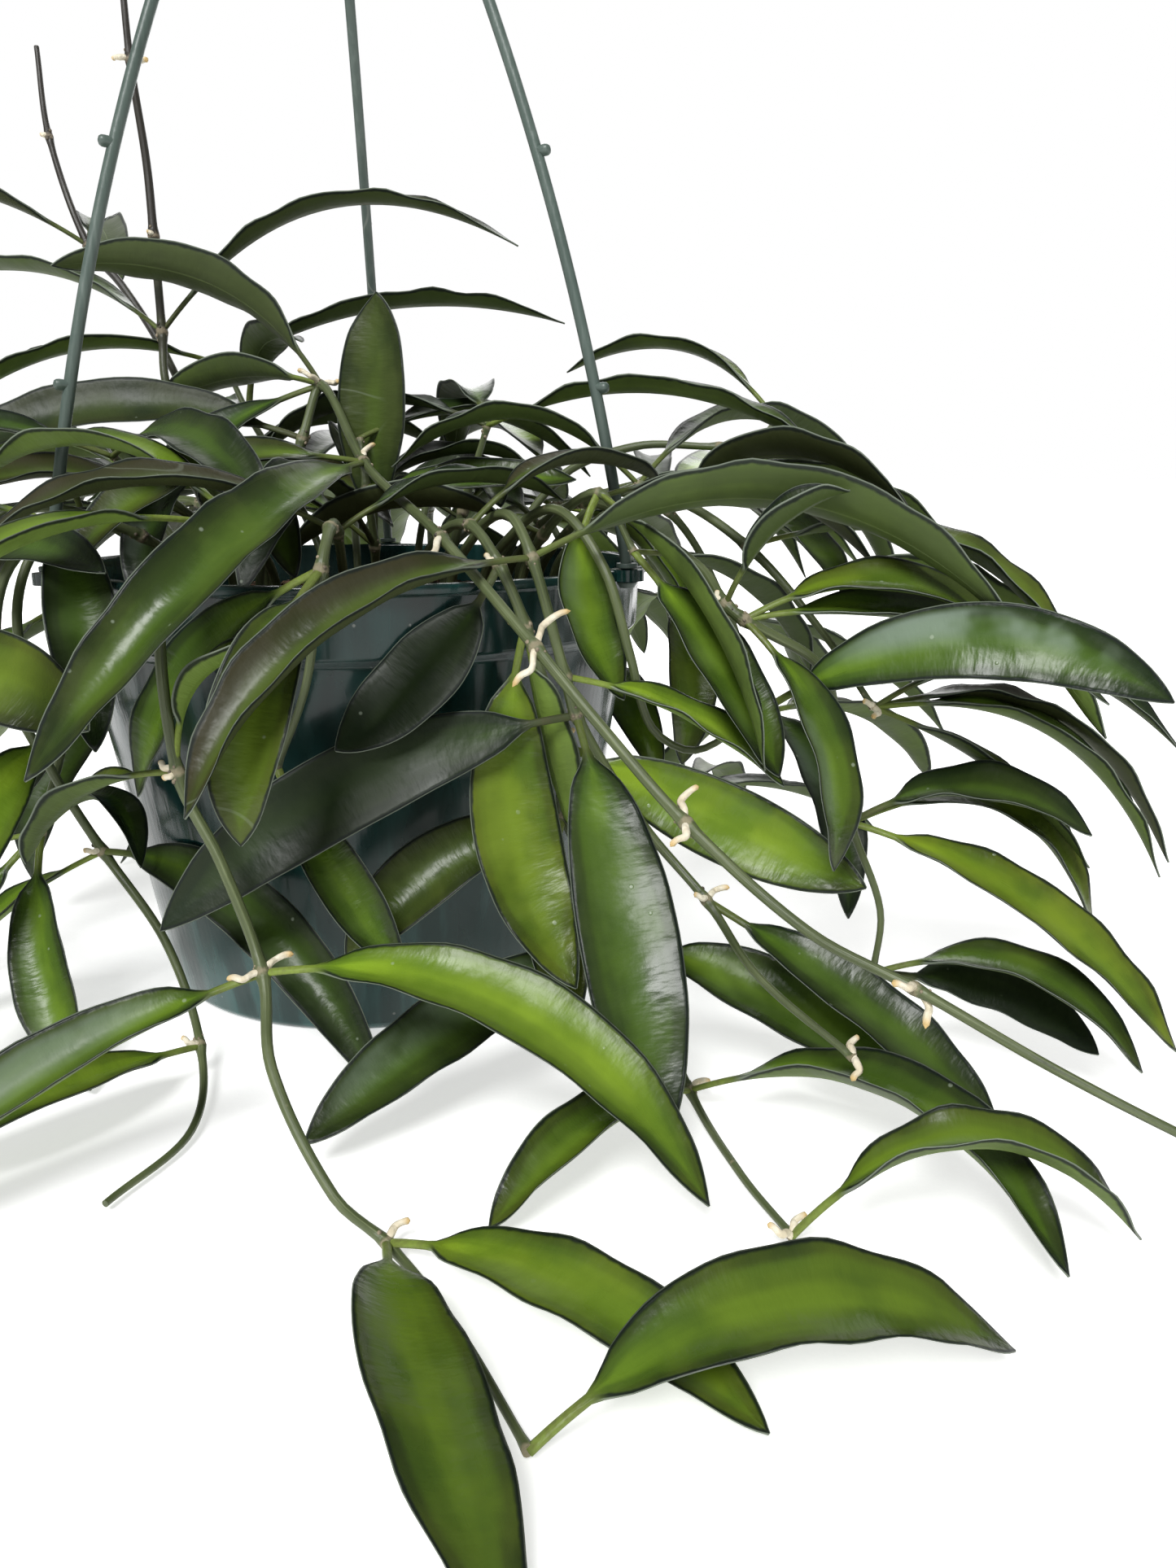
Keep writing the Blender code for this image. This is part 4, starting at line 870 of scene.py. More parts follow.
class Sheet:
    """Writes a node tree, for a shape or for a finish, from plain formulas."""

    def __init__(self, tree):
        self.tree = tree

    def node(self, kind, values=None, **settings):
        """A new node with these settings, and these values on its inputs."""
        made = self.tree.nodes.new(kind)
        for name, setting in settings.items():
            setattr(made, name, setting)
        for name, value in (values or {}).items():
            self.set(made.inputs[name], value)
        return made

    def set(self, socket, value):
        """Links a wire to the socket, or gives the socket a plain value."""
        if isinstance(value, Wire):
            self.tree.links.new(value.socket, socket)
        else:
            socket.default_value = value

    def out(self, made, name=0):
        """An output of this node."""
        return Wire(self, made.outputs[name])

    def made(self, kind, values=None, name=0, **settings):
        """An output of a new node."""
        return self.out(self.node(kind, values, **settings), name)

    def is_vector(self, value):
        """Whether a wire or a plain value is a vector."""
        return value.socket.type == "VECTOR" if isinstance(value, Wire) else hasattr(value, "__len__")

    def math(self, operation, *values):
        """Adds, scales and so on: of numbers, of vectors, or of a vector by a number."""
        vectors = [self.is_vector(value) for value in values]
        numbered = dict(enumerate(values))
        if not any(vectors):
            return self.made("ShaderNodeMath", numbered, operation=operation)
        if operation == "MULTIPLY" and not all(vectors):
            vector, scale = sorted(values, key=self.is_vector, reverse=True)
            return self.made("ShaderNodeVectorMath", {0: vector, "Scale": scale}, operation="SCALE")
        name = "Value" if operation == "DOT_PRODUCT" else "Vector"
        return self.made("ShaderNodeVectorMath", numbered, name, operation=operation)

    def parts(self, vector):
        """The three parts of a vector."""
        made = self.node("ShaderNodeSeparateXYZ", {0: vector})
        return [self.out(made, axis) for axis in range(3)]

    def joined(self, x, y, z):
        """The vector of these three parts."""
        return self.made("ShaderNodeCombineXYZ", {0: x, 1: y, 2: z})

    def ease(self, value, low, high, low_value=0.0, high_value=1.0, kind="SMOOTHSTEP"):
        """Goes from one value to the other, smoothly, as the input passes from low to high."""
        numbers = {0: value, 1: low, 2: high, 3: low_value, 4: high_value}
        return self.made("ShaderNodeMapRange", numbers, interpolation_type=kind)

    def curve(self, value, points):
        """A smooth curve through these points."""
        made = self.node("ShaderNodeFloatCurve", {"Value": value})
        line = made.mapping.curves[0]
        line.points[0].location = points[0]
        line.points[-1].location = points[-1]
        for point in points[1:-1]:
            line.points.new(*point)
        made.mapping.update()
        return self.out(made)

    def noise(self, place, scale, detail):
        """Smooth noise from 0 to 1 at a place, finer as the scale grows."""
        return self.made("ShaderNodeTexNoise", {"Vector": place, "Scale": scale, "Detail": detail})

    def streaks(self, parts, scales, detail):
        """Smooth noise from 0 to 1 that is stretched, with a scale of its own for each of these three."""
        place = self.joined(*(part * scale for part, scale in zip(parts, scales)))
        return self.noise(place, 1.0, detail)

    def group(self, tree, values):
        """A node that holds this tree."""
        kind = "GeometryNodeGroup" if tree.bl_idname == "GeometryNodeTree" else "ShaderNodeGroup"
        return self.node(kind, values, node_tree=tree)

    def input(self, name):
        """A value that each point of the mesh carries, in a shape's tree."""
        return self.made("GeometryNodeInputNamedAttribute", {"Name": name}, data_type=value_kind(name))

    def store(self, shape, name, value):
        """Has each point of the shape carry this value."""
        kind = "FLOAT_VECTOR" if self.is_vector(value) else "FLOAT"
        values = {"Geometry": shape, "Name": name, "Value": value}
        return self.made("GeometryNodeStoreNamedAttribute", values, data_type=kind, domain="POINT")

    def coated(self, shape, finish):
        """The shape with this finish on it."""
        return self.made("GeometryNodeSetMaterial", {"Geometry": shape, "Material": finish})

    def copies(self, points, shape, **values):
        """A copy of the shape on each point."""
        values = {"Points": points, "Instance": shape, **values}
        placed = self.made("GeometryNodeInstanceOnPoints", values)
        return self.made("GeometryNodeRealizeInstances", {"Geometry": placed})

    def chance(self, low, high, seed):
        """A number between these, drawn for each point."""
        values = {2: low, 3: high, "Seed": seed}
        return self.made("FunctionNodeRandomValue", values, 1, data_type="FLOAT")

    def carried(self, name, kind="Fac"):
        """A value that each point of the mesh carries, in a finish: a number, a colour or a vector."""
        return self.made("ShaderNodeAttribute", name=kind, attribute_name=name)

    def colours(self, value, *stops):
        """Goes through these colours as the value passes these places, given as (place, colour)."""
        made = self.node("ShaderNodeValToRGB", {0: value})
        made.color_ramp.interpolation = "EASE"
        marks = made.color_ramp.elements
        for number, (place, colour) in enumerate(stops):
            mark = marks[number] if number < 2 else marks.new(place)
            mark.position = place
            mark.color = (*colour, 1.0)
        return self.out(made)

    def mix(self, share, first, second):
        """From the first colour to the second."""
        made = self.node("ShaderNodeMix", data_type="RGBA")
        self.set(made.inputs[0], share)
        for number, colour in ((6, first), (7, second)):
            self.set(made.inputs[number], colour if isinstance(colour, Wire) else (*colour, 1.0))
        return self.out(made, 2)


def stem_point_z(line, radii):
    """Keeps a line of tube centres above the surface that the basket stands on."""
    for point, radius in zip(line, radii):
        point.z = max(point.z, radius + REST_HEIGHT)


def around(radius, degrees):
    """The point at this radius and angle round the basket's axis."""
    angle = math.radians(degrees)
    return radius * math.cos(angle), radius * math.sin(angle)


def smooth_line(points, step, straight_start=False):
    """Points along a smooth curve through these, and the number of each given point in the result."""
    count = len(points)
    gaps = [(points[i + 1] - points[i]).length for i in range(count - 1)]
    slopes = []
    for i in range(count):
        if i == 0:
            slopes.append((points[1] - points[0]) / gaps[0])
        elif i == count - 1:
            slopes.append((points[-1] - points[-2]) / gaps[-1])
        else:
            slopes.append((points[i + 1] - points[i - 1]) / (gaps[i - 1] + gaps[i]))
    if straight_start:
        slopes[0] = Vector((0, 0, 1))
        slopes[1] = Vector((0, 0, 1))
    line = [points[0].copy()]
    marks = [0]
    for i in range(count - 1):
        pieces = max(1, round(gaps[i] / step))
        for k in range(1, pieces + 1):
            t = k / pieces
            a = 2 * t**3 - 3 * t**2 + 1
            b = t**3 - 2 * t**2 + t
            c = -2 * t**3 + 3 * t**2
            d = t**3 - t**2
            line.append(
                a * points[i] + b * gaps[i] * slopes[i] + c * points[i + 1] + d * gaps[i] * slopes[i + 1]
            )
        marks.append(len(line) - 1)
    return line, marks


def stem_points(vine):
    """The foot of the stem in its hole, its mouth, and the points of its route."""
    x, y = vine.hole
    foot = Vector((x, y, SOIL_TOP - HOLE_DEPTH + GAP))
    mouth = Vector((x, y, SOIL_TOP + SOIL_CROWN + SOIL_ROUGHNESS + MOUTH_RISE))
    return [foot, mouth] + [Vector(p) for p in vine.route]


def plain_radius(share):
    """A stem's radius between its knots, at a share of its length."""
    return STEM_RADIUS + (TIP_RADIUS - STEM_RADIUS) * max(0, share - TAPER_FROM) / (1 - TAPER_FROM)


def leaf_bases(vine):
    """The point of the stem's centre line that each point of its route gives, as the solids have it."""
    points, marks = smooth_line(stem_points(vine), SOLID_STEM_STEP, straight_start=True)
    bases = []
    for mark in marks[2:]:
        point = points[mark]
        radius = plain_radius(mark / (len(points) - 1)) * SOLID_KNOT
        point.z = max(point.z, radius + REST_HEIGHT)
        bases.append(point)
    return bases


def blade_share(u):
    """The blade's half width at a share u of its length, as a share of its widest."""
    if u <= 0 or u >= 1:
        return 0.0
    return (4 * u * (1 - u)) ** BLADE_ROUNDNESS


def way_to(heading, pitch):
    """The unit way with this heading and pitch, in radians."""
    return Vector((math.cos(pitch) * math.cos(heading), math.cos(pitch) * math.sin(heading), math.sin(pitch)))


def leaf_form(leaf, base, bend):
    """What fixes a leaf's form: its curve's three points, the way to its left edge and its stalk's share."""
    drop = (REST_HEIGHT + TIP_THICKNESS - base.z) / leaf.reach
    lowest_pitch = math.degrees(math.asin(max(-1, min(1, drop))))
    heading = math.radians(leaf.heading)
    pitch = math.radians(max(leaf.pitch, lowest_pitch))
    along = way_to(heading, pitch)
    left = Vector((-math.sin(heading), math.cos(heading), 0))
    up = along.cross(left)
    tip = base + along * leaf.reach + bend
    middle = (base + tip) / 2 + up * leaf.arch + left * leaf.sway + bend * MIDDLE_BEND
    control = 2 * middle - (base + tip) / 2
    roll = math.radians(leaf.roll)
    side = (left * math.cos(roll) + up * math.sin(roll)).normalized()

    def line(t):
        return (1 - t) ** 2 * base + 2 * t * (1 - t) * control + t * t * tip

    points = [line(i / LENGTH_STEPS) for i in range(LENGTH_STEPS + 1)]
    length = sum((second - first).length for first, second in zip(points, points[1:]))
    stalk = min(PETIOLE, LONGEST_STALK * length) / length
    return line, control, tip, side, length, stalk


def leaf_corners(leaf, base, bend):
    """The corners of the solid leaf's sections past its root, in millimetres."""
    line, control, tip, side_start, length, stalk = leaf_form(leaf, base, bend)
    fold = math.radians(leaf.fold)
    phase = leaf.heading + leaf.reach
    corners = []
    for u in leaf.stations if leaf.reach > SHORT_LEAF else SIDE_STATIONS:
        t = stalk + (1 - stalk) * u
        centre = line(t)
        tangent = (2 * (1 - t) * (control - base) + 2 * t * (tip - control)).normalized()
        side = (side_start - tangent * side_start.dot(tangent)).normalized()
        over = tangent.cross(side)
        half = max(PETIOLE_RADIUS, leaf.width / 2 * blade_share(u))
        thick = BLADE_THICKNESS / 2 if u > 0 else PETIOLE_RADIUS
        thick += (TIP_THICKNESS / 2 - thick) * max(0, u - TAPER_FROM) / (1 - TAPER_FROM)
        bent = fold * min(1, blade_share(u) * FOLD_SPREAD)
        wave = WAVE_HEIGHT * blade_share(u) * math.sin(2 * math.pi * t * length / WAVE_LENGTH + phase)
        out = side * half * math.cos(bent)
        rise = over * half * math.sin(bent)
        section = [
            centre + out + rise + over * wave, centre + over * thick,
            centre - out + rise - over * wave, centre - over * thick,
        ]
        lift = max(0, REST_HEIGHT - min(corner.z for corner in section))
        corners += [corner + Vector((0, 0, lift)) for corner in section]
    return corners


class Solid:
    """The points of a stem's solid, to look for a leaf's or a root's own corners among them."""

    def __init__(self, node):
        points = node.data.vertices
        self.tree = KDTree(len(points))
        for point in points:
            self.tree.insert(point.co / MM, point.index)
        self.tree.balance()

    def near(self, place, within=MATCH_WITHIN):
        """Whether a point of the solid is here."""
        return self.tree.find(place)[2] < within

    def has_leaf(self, leaf, base, bend):
        """Whether the leaf stands in the solid as it is bent here."""
        tip = leaf_form(leaf, base, bend)[2]
        tip.z = max(tip.z, REST_HEIGHT + TIP_THICKNESS / 2)
        if not self.near(tip):
            return False
        corners = leaf_corners(leaf, base, bend)
        return sum(self.near(corner) for corner in corners) > MATCH_SHARE * len(corners)


def bent_ways(leaf):
    """The leaf as planned and each way that it may be turned and swung, the smallest change first."""
    ways = [(abs(step) + abs(turn) / TURN_EASE, step, turn) for step in BEND_STEPS for turn in TURNS]
    for _, step, turn in sorted(ways, key=lambda way: way[0]):
        yield leaf._replace(roll=leaf.roll + turn), BEND_WAY * step


def drawn_ways(leaf, chance):
    """Ways that a leaf on a side stem may grow, in the order that they are drawn in."""
    yield leaf, Vector((0, 0, 0))
    for _ in range(LEAF_TRIES):
        changed = leaf._replace(
            heading=leaf.heading + chance.uniform(*NEW_HEADING),
            pitch=leaf.pitch + chance.uniform(*NEW_PITCH),
            reach=leaf.reach * chance.uniform(*NEW_REACH),
            arch=chance.uniform(*NEW_ARCH),
            roll=chance.uniform(*NEW_ROLL),
        )
        yield changed, Vector((0, 0, 0))


def crown_leaves():
    """The name of the stem and the leaf, for each of the rest of the crown's leaves."""
    for name, node, heading, pitch, reach, arch, width in CROWN_LEAVES:
        yield name, Leaf(node, heading, pitch, reach, arch, 0, width, stations=SIDE_STATIONS)


def side_vines():
    """The stems of the sides and back: each leaves the mix, arches over the rim and trails down."""
    chance = random.Random(SEED)
    vines = []
    for i in range(SIDE_STEMS):
        angle = SIDE_SPREAD * (i + 0.5) / SIDE_STEMS
        hole = around(SIDE_HOLES[i % 2], angle)
        rise = chance.uniform(*SIDE_RIM_RISE)
        swing = chance.uniform(*SIDE_SWING)
        fall = chance.uniform(*SIDE_FALL)
        drift = chance.uniform(*SIDE_DRIFT)
        rim = BASKET_HEIGHT
        low = rim - SIDE_DROP
        places = (*SIDE_RIM_PLACES, swing * SIDE_BULGE, swing)
        heights = [rim + rise * share for share in SIDE_RISES]
        heights += [low, low - (rim - SIDE_LOWEST) * (1 - fall / SIDE_LONGEST)]
        turns = [angle + drift * share for share in SIDE_DRIFTS]
        route = [(*around(place, turn), height) for place, turn, height in zip(places, turns, heights)]
        leaves = []
        for node in range(len(route)):
            plane = SIDE_LEAF_PLANES[(node + i) % 2]
            for hand in (1, -1):
                leaves.append(
                    Leaf(
                        node,
                        angle + hand * plane + chance.uniform(*SIDE_LEAF_TURN),
                        chance.uniform(*(SIDE_HIGH_PITCH if node < SIDE_HIGH_NODES else SIDE_LOW_PITCH)),
                        chance.uniform(*SIDE_LEAF_REACH),
                        chance.uniform(*SIDE_LEAF_ARCH),
                        chance.uniform(*SIDE_LEAF_SWAY),
                        chance.uniform(*SIDE_LEAF_WIDTH),
                        stations=SIDE_STATIONS,
                    )
                )
        vines.append(Vine(f"{SIDE_STEM}{i + 1}", hole, route, leaves, []))
    return vines


def root_line(root, base):
    """A short root's centre line: out from the stem, then bent twice, and its radius at each point."""
    heading = math.radians(root.heading)
    pitch = math.radians(root.pitch)
    out = way_to(heading, pitch)
    across = Vector((-math.sin(heading), math.cos(heading), ROOT_BEND_RISE)) * root.length * ROOT_BEND
    bend = base + out * root.length * 0.5 + across * ROOT_BEND_SHARE
    tip = base + out * root.length
    line = []
    radii = []
    wobble = Vector((out.y, -out.x, ROOT_WOBBLE_RISE)).normalized()
    wobble *= min(ROOT_WOBBLE, root.length * ROOT_WOBBLE_SHARE)
    for i in range(ROOT_STEPS + 1):
        t = i / ROOT_STEPS
        place = (1 - t) ** 2 * base + 2 * t * (1 - t) * (2 * bend - (base + tip) / 2) + t * t * tip
        sway = math.sin(2 * math.pi * t * ROOT_WOBBLE_TURNS)
        line.append(place + wobble * sway * math.sin(math.pi * t))
        blunt = math.sqrt(max(0.0, 1 - max(0, t - ROOT_BLUNT_FROM) ** 2 / ROOT_BLUNTNESS))
        lump = ROOT_LUMP * math.sin(ROOT_LUMP_RATE * t + root.heading)
        radii.append(ROOT_RADIUS * (ROOT_FOOT - ROOT_THINNING * t + lump) * blunt)
    stem_point_z(line, radii)
    return line, radii, tip


def find_growth(frame):
    """Each stem with the leaves and roots that its solid holds, as they were bent there."""
    chance = random.Random(SEED)
    tones = random.Random(TONE_SEED)
    growth = []
    for vine in PLAN + side_vines():
        solid = Solid(frame["nodes"][vine.name])
        more = [leaf for name, leaf in crown_leaves() if name == vine.name]
        vine = vine._replace(leaves=vine.leaves + more)
        bases = leaf_bases(vine)
        leaves = []
        for leaf in vine.leaves:
            drawn = tones.choice(COMMON_TONES)
            tone = leaf.tone or drawn
            base = bases[leaf.node]
            ways = drawn_ways(leaf, chance) if vine.name.startswith(SIDE_STEM) else bent_ways(leaf)
            for way, bend in ways:
                if solid.has_leaf(way, base, bend):
                    leaves.append((way._replace(tone=tone), base, bend))
                    break
        roots = []
        for root in vine.roots:
            line, radii, tip = root_line(root, bases[root.node])
            tip.z = max(tip.z, ROOT_RADIUS + REST_HEIGHT)
            if solid.near(tip, ROOT_RADIUS):
                roots.append((line, radii))
        growth.append((vine, leaves, roots))
    return growth


def new_shape_tree(name, sizes):
    """A tree for a shape, with these inputs after the mesh, by name: a number, or None for a finish."""
    tree = bpy.data.node_groups.new(name, "GeometryNodeTree")
    tree.interface.new_socket("Geometry", in_out="INPUT", socket_type="NodeSocketGeometry")
    for label, value in sizes.items():
        kind = "Material" if value is None else "Int" if isinstance(value, int) else "Float"
        socket = tree.interface.new_socket(label, in_out="INPUT", socket_type=f"NodeSocket{kind}")
        if value is not None:
            socket.default_value = value
    tree.interface.new_socket("Geometry", in_out="OUTPUT", socket_type="NodeSocketGeometry")
    sheet = Sheet(tree)
    given = tree.nodes.new("NodeGroupInput")
    end = tree.nodes.new("NodeGroupOutput")
    return tree, sheet, {label: sheet.out(given, label) for label in ("Geometry", *sizes)}, end


def grown_mesh(thing, tree, sizes):
    """The plain mesh that a shape's tree makes of this object, with these sizes by name."""
    change = thing.modifiers.new("grow", "NODES")
    change.node_group = tree
    for item in tree.interface.items_tree:
        if item.in_out == "INPUT" and item.name in sizes:
            change[item.identifier] = sizes[item.name]
    graph = bpy.context.evaluated_depsgraph_get()
    mesh = bpy.data.meshes.new_from_object(
        thing.evaluated_get(graph), preserve_all_data_layers=True, depsgraph=graph
    )
    bpy.data.objects.remove(thing)
    return mesh


def cord_tree():
    """A round tube along each chain of edges, closed at its ends, with a radius carried by its points."""
    tree, sheet, given, end = new_shape_tree("round cord", {"Sides": STEM_SIDES, "Finish": None})
    guide = sheet.made("GeometryNodeMeshToCurve", {"Mesh": given["Geometry"]})
    guide = sheet.store(guide, "run", sheet.made("GeometryNodeSplineParameter", name="Length"))
    ring = sheet.made("GeometryNodeCurvePrimitiveCircle", {"Resolution": given["Sides"], "Radius": 1.0})
    turn = sheet.made("GeometryNodeSplineParameter", name="Factor")
    ring = sheet.store(ring, "turn", turn * math.tau)
    tube = {"Curve": guide, "Profile Curve": ring, "Scale": sheet.input("radius"), "Fill Caps": True}
    shape = sheet.made("GeometryNodeCurveToMesh", tube)
    turn = sheet.input("turn")
    grain = sheet.joined(sheet.math("COSINE", turn), sheet.math("SINE", turn), sheet.input("run") / MM)
    shape = sheet.store(shape, "grain", grain)
    sheet.set(end.inputs[0], sheet.coated(shape, given["Finish"]))
    return tree


def blade_line(sheet, t):
    """At this share of a leaf's curve: its centre, the way to its left edge and the way out of its face."""
    root, bend, tip = (sheet.input(name) for name in ("root_at", "bend_at", "tip_at"))
    rest = 1.0 - t
    centre = root * (rest * rest) + bend * (t * rest * 2.0) + tip * (t * t)
    tangent = sheet.math("NORMALIZE", (bend - root) * rest + (tip - bend) * t)
    side = sheet.input("side_way")
    side = sheet.math("NORMALIZE", side - tangent * sheet.math("DOT_PRODUCT", side, tangent))
    return centre, side, sheet.math("CROSS_PRODUCT", tangent, side)


def blade_section(sheet, u):
    """Here along a blade, below nought on its stalk: its share of full width, half width and thickness."""
    share = sheet.curve(u, BLADE_OUTLINE) * sheet.ease(u, *BLADE_START, kind="LINEAR")
    stalk = PETIOLE_RADIUS * MM
    rib = sheet.ease(u, *STALK_NARROW_SPAN, stalk * STALK_FLARE, stalk)
    rib = rib * sheet.ease(u, *RIB_SPAN, 1.0, RIB_TIP)
    half = sheet.math("MAXIMUM", rib, sheet.input("half_width") * share)
    full = BLADE_THICKNESS / 2 * MM
    thick = sheet.ease(u, *STALK_FLAT_SPAN, stalk, full)
    thick = sheet.math("MINIMUM", thick, sheet.ease(u, TAPER_FROM, 1.0, full, TIP_EDGE * MM, "LINEAR"))
    return share, half, thick


def blades(sheet, points, given):
    """A blade with its stalk for each point, closed all round: folded along its middle, waved and tapered."""
    strip = {"Vertices": given["Blade Sides"], "Side Segments": given["Blade Rings"]}
    strip = sheet.made("GeometryNodeMeshCylinder", {**strip, "Radius": 1.0, "Depth": 1.0})
    x, y, z = sheet.parts(sheet.made("GeometryNodeInputPosition"))
    even = z + 0.5
    strip = sheet.store(strip, "along", even - sheet.math("SINE", even * math.tau) * RING_CROWDING)
    strip = sheet.store(strip, "turn", sheet.math("ARCTAN2", y, x))
    shape = sheet.copies(points, strip)

    t = sheet.input("along")
    turn = sheet.input("turn")
    across = sheet.math("COSINE", turn)
    above = sheet.math("SINE", turn)
    edge = sheet.math("ABSOLUTE", across)
    stalk = sheet.input("stalk")
    u = (t - stalk) / (1.0 - stalk)
    centre, side, over = blade_line(sheet, t)
    share, half, thick = blade_section(sheet, u)

    bent = sheet.input("fold") * sheet.math("MINIMUM", share * FOLD_SPREAD, 1.0)
    channel = sheet.math("POWER", edge, CHANNEL_POWER)
    waves = sheet.input("waves") * t
    phase = sheet.input("phase")
    ripple = sheet.math("SINE", waves * RIPPLE_RATE + phase * RIPPLE_SHIFT + across * RIPPLE_SLANT)
    ripple = ripple * sheet.math("POWER", edge, RIPPLE_POWER) * sheet.input("ripple")
    wave = sheet.math("SINE", waves + phase) * (WAVE_HEIGHT * WAVE_SHARE * MM)
    wave = (wave * across + ripple) * share
    out = half * sheet.math("COSINE", bent)
    rise = half * sheet.math("SINE", bent)
    place = centre + side * (out * across) + over * (rise * channel + wave + thick * above)

    side_z = sheet.parts(side)[2] * out
    over_z = sheet.parts(over)[2]
    low = sheet.math("MINIMUM", side_z + over_z * (rise + wave), over_z * (rise - wave) - side_z)
    low = sheet.math("MINIMUM", low, sheet.math("ABSOLUTE", over_z * thick) * -1.0)
    low = low + sheet.parts(centre)[2]
    lift = sheet.math("MAXIMUM", REST_HEIGHT * MM - low, 0.0) * sheet.ease(t, *REST_SPAN)
    place = place + sheet.joined(0.0, 0.0, lift)
    shape = sheet.made("GeometryNodeSetPosition", {"Geometry": shape, "Position": place})
    shape = sheet.store(shape, "blade", sheet.joined(u, across, above))
    shape = sheet.store(shape, "rim", (1.0 - edge) * half / MM)
    return sheet.coated(shape, given["Leaf Finish"])


def warts(sheet, stem, given):
    """Small lumps of callus on the stem round its knots."""
    crowd = sheet.ease(sheet.input("knot"), *WARTS_NEAR) * given["Warts"]
    spread = {"Mesh": stem, "Density": crowd, "Seed": given["Seed"]}
    spread = sheet.node("GeometryNodeDistributePointsOnFaces", spread)
    lump = sheet.made("GeometryNodeMeshIcoSphere", {"Radius": 1.0, "Subdivisions": 2})
    smallest, largest = WART_SIZES
    size = sheet.chance(smallest * MM, largest * MM, WART_SEED)
    size = sheet.joined(size, size, size * WART_FLATNESS)
    shape = sheet.copies(sheet.out(spread), lump, Rotation=sheet.out(spread, "Rotation"), Scale=size)
    return sheet.coated(shape, given["Wart Finish"])


def leafy_stem_tree(cord):
    """A whole leafy stem, from a mesh with a point for each leaf and a chain for the stem and each root."""
    sizes = {"Blade Sides": BLADE_SIDES, "Blade Rings": BLADE_RINGS, "Warts": WARTS, "Seed": 1}
    sizes |= {f"{part} Finish": None for part in ("Leaf", "Stem", "Root", "Wart")}
    tree, sheet, given, end = new_shape_tree("leafy stem", sizes)
    kinds = []
    for part in (LEAF_PART, STEM_PART, ROOT_PART):
        numbers = {2: sheet.input("part"), 3: part}
        same = sheet.made("FunctionNodeCompare", numbers, data_type="INT", operation="EQUAL")
        kept = {"Geometry": given["Geometry"], "Selection": same}
        kinds.append(sheet.made("GeometryNodeSeparateGeometry", kept))
    stem = {"Geometry": kinds[1], "Sides": STEM_SIDES, "Finish": given["Stem Finish"]}
    stem = sheet.out(sheet.group(cord, stem))
    roots = {"Geometry": kinds[2], "Sides": ROOT_SIDES, "Finish": given["Root Finish"]}
    roots = sheet.out(sheet.group(cord, roots))
    whole = sheet.node("GeometryNodeJoinGeometry")
    for shape in (blades(sheet, kinds[0], given), stem, roots, warts(sheet, stem, given)):
        sheet.set(whole.inputs[0], shape)
    sheet.set(end.inputs[0], sheet.made("GeometryNodeSetShadeSmooth", {"Geometry": sheet.out(whole)}))
    return tree


def stem_chain(vine):
    """The stem's centre line, with its radius, how near a knot is and how brown it is at each point."""
    line, marks = smooth_line(stem_points(vine), STEM_STEP, straight_start=True)
    leafy = {leaf.node for leaf in vine.leaves} | {root.node for root in vine.roots}
    run = [0.0]
    for first, second in zip(line, line[1:]):
        run.append(run[-1] + (second - first).length)
    knots = [run[marks[node + 2]] for node in range(len(vine.route)) if node in leafy]
    bare = vine.name.startswith(BARE_STEMS)
    radii = []
    nearness = []
    browns = []
    for place in run:
        share = place / run[-1]
        near = max([math.exp(-(((place - knot) / KNOT_LENGTH) ** 2)) for knot in knots] + [0.0])
        radii.append(plain_radius(share) * (STEM_SLIMMING + KNOT_SWELL * near))
        nearness.append(near)
        if bare:
            browns.append(min(1, BARE_BROWN + BARE_BROWNING * share))
        else:
            browns.append(max(FOOT_BROWN - FOOT_FADING * share, KNOT_BROWN * near))
    stem_point_z(line, radii)
    return line, radii, nearness, browns


def leaf_facts(leaf, base, bend):
    """What a leaf's point carries, by name, in metres and radians."""
    _, control, tip, side, length, stalk = leaf_form(leaf, base, bend)
    tip.z = max(tip.z, REST_HEIGHT + TIP_THICKNESS / 2)
    draw = (leaf.heading * RIPPLE_BY_HEADING + leaf.reach * RIPPLE_BY_REACH) % 1
    return {
        "root_at": base * MM,
        "bend_at": control * MM,
        "tip_at": tip * MM,
        "side_way": side,
        "half_width": leaf.width / 2 * MM,
        "stalk": stalk,
        "fold": math.radians(leaf.fold),
        "waves": 2 * math.pi * length / WAVE_LENGTH,
        "phase": leaf.heading + leaf.reach,
        "ripple": (RIPPLE_LOW + RIPPLE_RANGE * draw) * MM,
        "tone": leaf.tone,
    }


